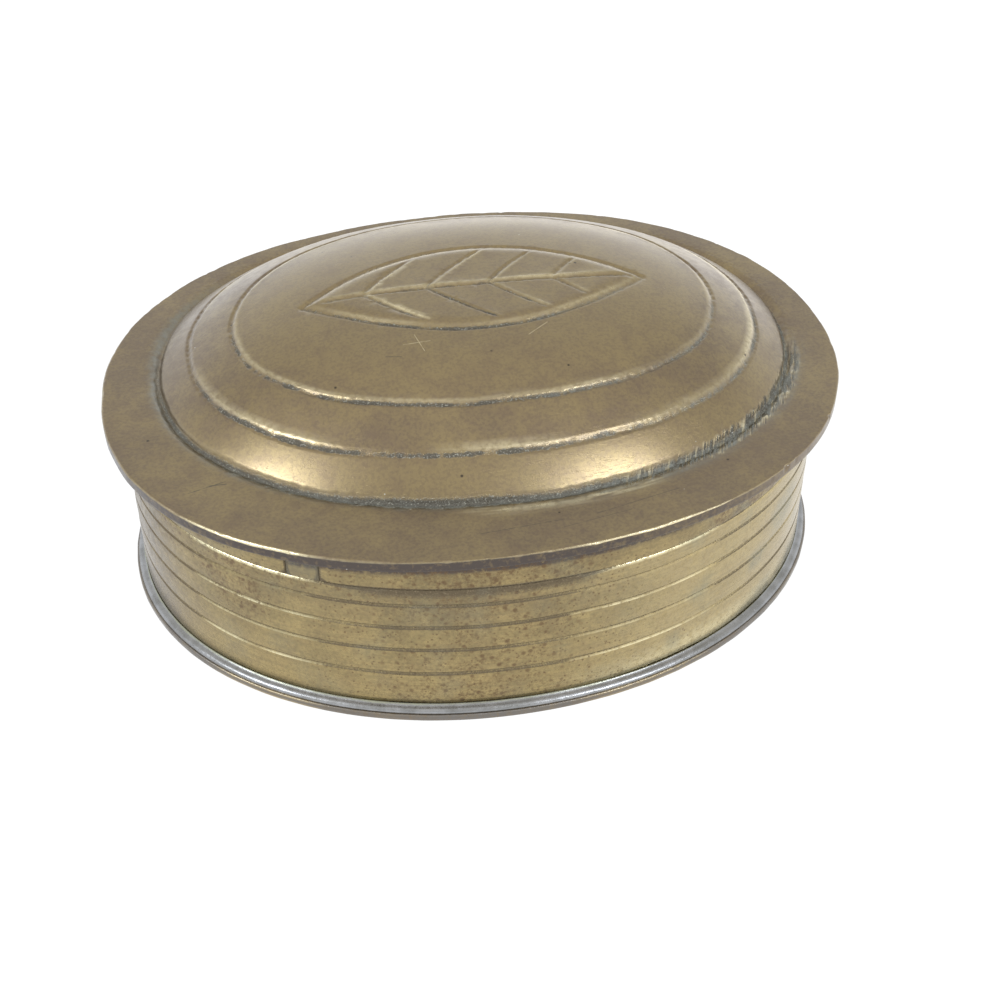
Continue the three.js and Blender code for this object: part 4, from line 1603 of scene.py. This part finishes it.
@dataclass
class BaseSheet:
    """Flat base sheet that projects a little beyond the wall."""

    piece: Piece = Piece("base_sheet", "base_plate", Body.BOX, "base_brass")
    overhang: float = 1.4
    edge_radius: float = 0.2
    edge_band: float = 1.0
    edge_draw: float = 0.1
    waviness: float = 0.06
    rings: int = 18
    steps: int = 480

    def build(self, wall: Oval, material: bpy.types.Material) -> bpy.types.Object:
        """Makes the sheet.

        Args:
            wall: Oval of the wall's outer face.
            material: Its finish.

        Returns:
            The piece.
        """
        low, high = heights("base_plate")
        reach = SPIN_RADIUS + self.overhang
        shape = self._blank(reach, low, high)
        spun = np.array([v.co for v in shape.verts])
        angle = np.arctan2(spun[:, 1], spun[:, 0])
        radius = np.hypot(spun[:, 0], spun[:, 1])
        places = on_oval(wall, angle, np.full(len(angle), self.overhang), spun[:, 2])
        places[:, :2] *= (radius / reach)[:, None]
        at_edge = ease((radius - reach + self.edge_band) / self.edge_band)
        draw = self.edge_draw * np.abs(soft_noise(places, 5.0, 101.0)) * at_edge
        places[:, :2] *= (1 - draw / np.maximum(radius, 1e-6))[:, None]
        upper = spun[:, 2] > (low + high) / 2
        stains = patchy(places, 10.0, 103.0, 0.0, 1.0) * upper * (radius < reach - 3)
        places[:, 2] += self.waviness * soft_noise(places, 12.0, 105.0) * upper * (radius < reach - 4)
        ledge = at_edge * upper * ease((reach - 0.1 - radius) / 0.3) * 0.2
        traces = {
            Trace.DIRT_AND_SHADE: np.maximum(0.4 * stains, ledge),
            Trace.WEAR_AND_HIGHLIGHT: self._worn_and_highlit_lines(places, at_edge, low, high),
            Trace.PITTING: 0.6 * stains,
            Trace.TARNISH_AND_SHADE: at_edge * patchy(places, 9.0, 109.0, 0.8, 0.4),
        }
        return self.piece.make(shape, places, traces, material)

    def _blank(self, reach: float, low: float, high: float) -> bmesh.types.BMesh:
        """Spins the section into a disc and rounds its rims."""
        shape = bmesh.new()
        stations = ((0, low), (reach, low), (reach, (low + high) / 2), (reach, high), (0, high))
        corners = [shape.verts.new((x, 0, z)) for x, z in stations]
        edges = [shape.edges.new(pair) for pair in zip(corners, corners[1:])]
        bmesh.ops.subdivide_edges(shape, edges=[edges[0]], cuts=3)
        bmesh.ops.subdivide_edges(shape, edges=[edges[-1]], cuts=self.rings)
        spin_disc(shape, self.steps, reach, (low, high), self.edge_radius, segments=3)
        return shape

    def _worn_and_highlit_lines(self, places: np.ndarray, at_edge: np.ndarray, low: float, high: float) -> np.ndarray:
        """Broken bright lines of worn gold on both rims of the sheet, strongest at the right and in the
        highlit stretches of the front: partly wear, partly a painted highlight.
        """
        lower = bell(places[:, 2] - low, 0.1, 0.14)
        upper = bell(places[:, 2] - high, -0.08, 0.12)
        kept = patchy(places, 14.0, 107.0, 0.45, 1.2)
        kept = np.maximum(kept, 0.75 * (places[:, 0] > 0)) * np.maximum(worn_and_highlit_front(places), 0.15)
        return at_edge * kept * np.maximum(lower, 0.5 * upper)


@dataclass
class TrinketBox:
    """The whole object: body and lid, sized from the frame."""

    squareness: float = 2.05
    solder_film: float = 0.15
    bezel_thickness: float = 0.8
    line_heights: tuple[float, ...] = (6.3, 10.5, 14.5, 18.2)
    seam_direction: float = math.radians(90)
    seam_width: float = 0.8
    seam_sunk: float = 0.22
    seam_levels: int = 30
    bead_reach: float = 1.12
    bead_height: float = 0.88
    key_direction: float = math.radians(-131.6)
    key_width: float = 3.7
    key_slit: float = 0.35
    key_swelling: float = 0.27
    fillet_leg: float = 0.8
    fillet_sag: float = 0.18
    fillet_steps: int = 6
    lid_clearance: float = 0.3
    made: list[bpy.types.Object] = field(default_factory=list)

    def __post_init__(self) -> None:
        """Reads the heights and thicknesses from the frame."""
        self.oval = Oval.round_node("body_wall", self.squareness)
        _, self.base_top = heights("base_plate")
        self.wall_bottom, self.wall_top = heights("body_wall")
        self.bezel_bottom, self.bezel_top = heights("inner_bezel")
        self.collar_bottom, self.collar_top = heights("lid_collar")
        self.key_bottom, self.key_top = heights("locating_key")
        _, bezel_high = node_box("inner_bezel")
        self.bezel_face = bezel_high[0] - self.oval.half_length
        self.collar_inside = self.bezel_face + self.lid_clearance
        self.wall_inside = self.bezel_face + self.solder_film

    def _half_angle(self, width: float, direction: float) -> float:
        """Half the angle that a width takes up on the oval."""
        reach = float(np.linalg.norm(self.oval.points(np.array([direction]))))
        return math.asin(width / 2 / reach)

    def _round_gap(self, direction: float, width: float) -> tuple[float, float]:
        """From one side of a gap all the way round to its other side."""
        half = self._half_angle(width, direction)
        return direction + half, direction - half + FULL_TURN

    def _across(self, direction: float, width: float) -> tuple[float, float]:
        """From one side of a width to its other side."""
        half = self._half_angle(width, direction)
        return direction - half, direction + half

    def build(self) -> None:
        """Makes every piece."""
        finishes = {f.name: f.material() for f in FINISHES}
        self.made.append(BaseSheet().build(self.oval, finishes["base_brass"]))
        self.made.append(self._wall().build(finishes["wall_brass"]))
        self.made.append(self._bezel().build(finishes["inner_brass"]))
        self.made.append(self._key().build(finishes["collar_brass"]))
        self.made.append(self._collar().build(finishes["collar_brass"]))
        for run in (self._bead(), self._seam(), self._fillet()):
            self.made.append(run.build(finishes["soft_solder"]))
        self.made.append(DomedPlate().build(finishes["lid_brass"]))

    def _wall(self) -> Strip:
        """Engraved wall, open at the seam."""
        return Strip(
            piece=Piece("engraved_wall", "body_wall", Body.BOX, "wall_brass"),
            oval=self.oval, inside=self.wall_inside, outside=0.0,
            bottom=self.wall_bottom, top=self.wall_top,
            gap=self._round_gap(self.seam_direction, self.seam_width + 2 * self.solder_film),
            grooves=tuple(self.base_top + h for h in self.line_heights),
            foot_covered=True, cleaned=1.0, pitting=0.9, seed=201.0,
        )

    def _bezel(self) -> Strip:
        """Liner strip that centres the lid."""
        return Strip(
            piece=Piece("bezel_strip", "inner_bezel", Body.BOX, "inner_brass"),
            oval=self.oval, inside=self.bezel_face - self.bezel_thickness, outside=self.bezel_face,
            bottom=self.bezel_bottom, top=self.bezel_top, pitting=0.4, seed=231.0, steps=320,
        )

    def _key(self) -> Strip:
        """Tab in the gap of the collar."""
        return Strip(
            piece=Piece("key_tab", "locating_key", Body.BOX, "base_brass"),
            oval=self.oval, inside=self.collar_inside, outside=0.0,
            bottom=self.key_bottom, top=self.key_top,
            gap=self._across(self.key_direction, self.key_width + 2 * self.key_swelling),
            edge_radius=0.15, steps=16, levels=0.5, greyed=0.22, pitting=0.9, tarnish=0.45, shaded=1.4,
            seed=251.0,
        )

    def _collar(self) -> Strip:
        """Strip under the lid plate, open at the key."""
        return Strip(
            piece=Piece("collar_strip", "lid_collar", Body.LID, "wall_brass"),
            oval=self.oval, inside=self.collar_inside, outside=0.0,
            bottom=self.collar_bottom, top=self.collar_top,
            gap=self._round_gap(self.key_direction, self.key_width + 2 * self.key_slit),
            cleaned=0.35, pitting=1.1, tarnish=0.14, shaded=1.4, seed=271.0, levels=0.5,
        )

    def _bead(self) -> SolderRun:
        """Rounded bead between the wall and the base sheet."""
        inside = 0.2 * self.solder_film
        outline = (
            (1.0, 0.0), (0.97, 0.22), (0.88, 0.42), (0.74, 0.57), (0.56, 0.68), (0.36, 0.76),
            (0.2, 0.85), (0.09, 0.94), (0.0, 1.06),
        )
        section = [(inside, self.base_top)]
        for x, z in outline:
            section.append((inside + self.bead_reach * x, self.base_top + self.bead_height * z))
        return SolderRun(
            piece=Piece("foot_bead", "base_solder_bead", Body.BOX, "solder"),
            oval=self.oval, section=section, seed=301.0, thinner=0.12,
        )

    def _seam(self) -> SolderRun:
        """Solder in the butt seam of the wall."""
        tall = self.wall_top - self.wall_bottom
        face = [
            (-self.seam_sunk, self.wall_bottom + tall * k / self.seam_levels)
            for k in range(self.seam_levels + 1)
        ]
        section = [(self.wall_inside, self.wall_bottom), *face, (self.wall_inside, self.wall_top)]
        return SolderRun(
            piece=Piece("seam_solder", "wall_seam", Body.BOX, "solder"), oval=self.oval, section=section,
            gap=self._across(self.seam_direction, self.seam_width), steps=6, lump=0.04, seed=321.0,
        )

    def _fillet(self) -> SolderRun:
        """Solder fillet between collar and plate, inside."""
        outer = self.collar_inside - self.solder_film
        leg, top = self.fillet_leg, self.collar_top
        curve = []
        for k in range(1, self.fillet_steps):
            share = k / self.fillet_steps
            sag = self.fillet_sag * leg * math.sin(math.pi * share)
            curve.append((outer - leg * (1 - share) + sag, top - leg * share + sag))
        section = [(outer, top), (outer - leg, top), *curve, (outer, top - leg)]
        return SolderRun(
            piece=Piece("plate_fillet", "lid_solder", Body.LID, "solder"), oval=self.oval, section=section,
            gap=self._round_gap(self.key_direction, self.key_width + 2 * self.key_slit),
            steps=300, lump=0.03, seed=341.0,
        )


@dataclass(frozen=True)
class Viewpoint:
    """Camera at the photograph's viewing angle."""

    azimuth: float = math.radians(-13.1)
    elevation: float = math.radians(39.57)
    roll: float = math.radians(0.1)
    distance: float = 243.8
    aim: tuple[float, float, float] = (3.98, 0.61, 1.82)
    lens_share: float = 1.6228
    """Focal length in widths of the sensor."""
    sensor_width: float = 36.0
    clip: tuple[float, float] = (0.01, 20.0)

    def make(self) -> bpy.types.Object:
        """Adds the camera.

        Returns:
            The camera's object.
        """
        data = bpy.data.cameras.new("viewpoint")
        data.sensor_width = self.sensor_width
        data.lens = self.lens_share * self.sensor_width
        data.clip_start, data.clip_end = self.clip
        camera = bpy.data.objects.new("viewpoint", data)
        level = math.cos(self.elevation)
        across = Vector((math.sin(self.azimuth), -math.cos(self.azimuth), 0)) * level
        back = across + Vector((0, 0, math.sin(self.elevation)))
        turn = (-back).to_track_quat("-Z", "Y").to_matrix().to_4x4()
        turn = turn @ Matrix.Rotation(self.roll, 4, "Z")
        place = (back * self.distance + Vector(self.aim)) * MM
        camera.matrix_world = Matrix.Translation(place) @ turn
        bpy.context.scene.collection.objects.link(camera)
        bpy.context.scene.camera = camera
        return camera


@dataclass(frozen=True)
class Lamp:
    """Soft rectangular lamp that faces the box."""

    name: str
    direction: float
    elevation: float
    distance: float
    size: float
    brightness: float
    colour: Colour = (0.9, 0.98, 1.12)

    def make(self) -> None:
        """Adds the lamp. Its power follows from its area and its brightness."""
        data = bpy.data.lights.new(self.name, "AREA")
        data.shape, data.size = "DISK", self.size
        data.energy = self.brightness * math.pi * math.pi * (self.size / 2) ** 2
        data.color = self.colour
        lamp = bpy.data.objects.new(self.name, data)
        turn, lift = math.radians(self.direction), math.radians(self.elevation)
        towards = Vector((math.cos(turn) * math.cos(lift), math.sin(turn) * math.cos(lift), math.sin(lift)))
        lamp.location = towards * self.distance
        lamp.rotation_mode = "QUATERNION"
        lamp.rotation_quaternion = towards.to_track_quat("Z", "Y")
        bpy.context.scene.collection.objects.link(lamp)


@dataclass
class Studio:
    """Plain pale floor, white surroundings and two soft lamps."""

    floor_size: float = 6.0
    paint: Colour = (0.8, 0.81, 0.82)
    faint_paint: Colour = (0.13, 0.12, 0.115)
    """Paint under the glow, which keeps the shadow of the box."""
    glow_white: Colour = (0.99, 1.0, 1.01)
    glow_cool: Colour = (0.95, 1.04, 1.16)
    glow_strength: float = 0.93
    sky: tuple[tuple[float, Colour], ...] = (
        (0.0, (1.25, 1.32, 1.43)),
        (0.34, (1.2, 1.27, 1.38)),
        (0.58, (0.86, 0.88, 0.88)),
        (1.0, (1.08, 1.1, 1.13)),
    )
    """Colours of the room from under the floor to overhead."""
    lamps: tuple[Lamp, ...] = (
        Lamp("left_lamp", -164, 41, 0.6, 0.21, 10.5),
        Lamp("right_lamp", -54, 43, 0.6, 0.2, 10.0),
    )

    def build(self) -> None:
        """Makes floor, world and lamps."""
        self._floor()
        self._world()
        for lamp in self.lamps:
            lamp.make()

    def _floor(self) -> None:
        """Large floor that looks white and keeps a faint shadow."""
        shape = bmesh.new()
        bmesh.ops.create_grid(shape, x_segments=2, y_segments=2, size=self.floor_size / 2)
        mesh = bpy.data.meshes.new("floor")
        shape.to_mesh(mesh)
        shape.free()
        floor = bpy.data.objects.new("floor", mesh)
        bpy.context.scene.collection.objects.link(floor)
        material = bpy.data.materials.new("floor_white")
        mesh.materials.append(material)
        self._paint(Wiring(material))

    def _paint(self, wiring: Wiring) -> None:
        """Paints the floor: grey paint for the light, and a glow for what looks at it or mirrors it, with a
        painted pool of lamp light in what mirrors it.
        """
        path = wiring.add("ShaderNodeLightPath")
        mirrored = path.outputs["Is Glossy Ray"]
        seen = wiring.larger(path.outputs["Is Camera Ray"], mirrored)
        seen = wiring.larger(seen, path.outputs["Is Transmission Ray"])
        across = wiring.add("ShaderNodeSeparateXYZ")
        wiring.join(wiring.object_places, across.inputs[0])
        # What mirrors the floor sees its glow brighter towards the right and the back, a painted pool of
        # lamp light, and cooler towards the left.
        brighter = wiring.plus(
            wiring.span(across.outputs["X"], 0.02, 0.25, 0.0, 0.5),
            wiring.span(across.outputs["Y"], 0.06, 0.3, 0.0, 0.6),
        )
        cool = wiring.times(wiring.span(across.outputs["X"], -0.2, 0.0, 1.0, 0.0), mirrored)
        glow = wiring.shader(
            "ShaderNodeEmission",
            Color=wiring.blend(cool, self.glow_white, self.glow_cool),
            Strength=wiring.plus(wiring.times(brighter, mirrored), self.glow_strength),
        )
        lit = wiring.add("ShaderNodeAddShader")
        wiring.join(wiring.shader("ShaderNodeBsdfDiffuse", Color=(*self.faint_paint, 1.0)), lit.inputs[0])
        wiring.join(glow, lit.inputs[1])
        paint = wiring.shader("ShaderNodeBsdfDiffuse", Color=(*self.paint, 1.0))
        wiring.show(wiring.choice(seen, paint, lit.outputs[0]))

    def _world(self) -> None:
        """White room: bright and cool near the horizon, dimmer above it."""
        world = bpy.data.worlds.new("white_room")
        bpy.context.scene.world = world
        wiring = Wiring(world)
        parts = wiring.add("ShaderNodeSeparateXYZ")
        wiring.join(wiring.coordinates.outputs["Generated"], parts.inputs[0])
        ramp = wiring.add("ShaderNodeValToRGB")
        wiring.join(parts.outputs["Z"], ramp.inputs["Fac"])
        elements = ramp.color_ramp.elements
        while len(elements) < len(self.sky):
            elements.new(0.5)
        for element, (position, colour) in zip(elements, self.sky):
            element.position = position
            element.color = (*colour, 1.0)
        light = wiring.shader("ShaderNodeBackground", Color=ramp.outputs["Color"])
        shown = wiring.shader("ShaderNodeBackground", Color=(1.0, 1.0, 1.0, 1.0))
        path = wiring.add("ShaderNodeLightPath")
        wiring.show(wiring.choice(path.outputs["Is Camera Ray"], light, shown), "ShaderNodeOutputWorld")


def main() -> None:
    """Builds the studio, the camera and the box in order."""
    logging.basicConfig(level=logging.INFO, format="%(name)s: %(message)s")
    bpy.context.scene.view_settings.view_transform = "Standard"
    Viewpoint().make()
    Studio().build()
    box = TrinketBox()
    box.build()
    LOG.info("made %d pieces", len(box.made))


if __name__ == "__main__":
    main()
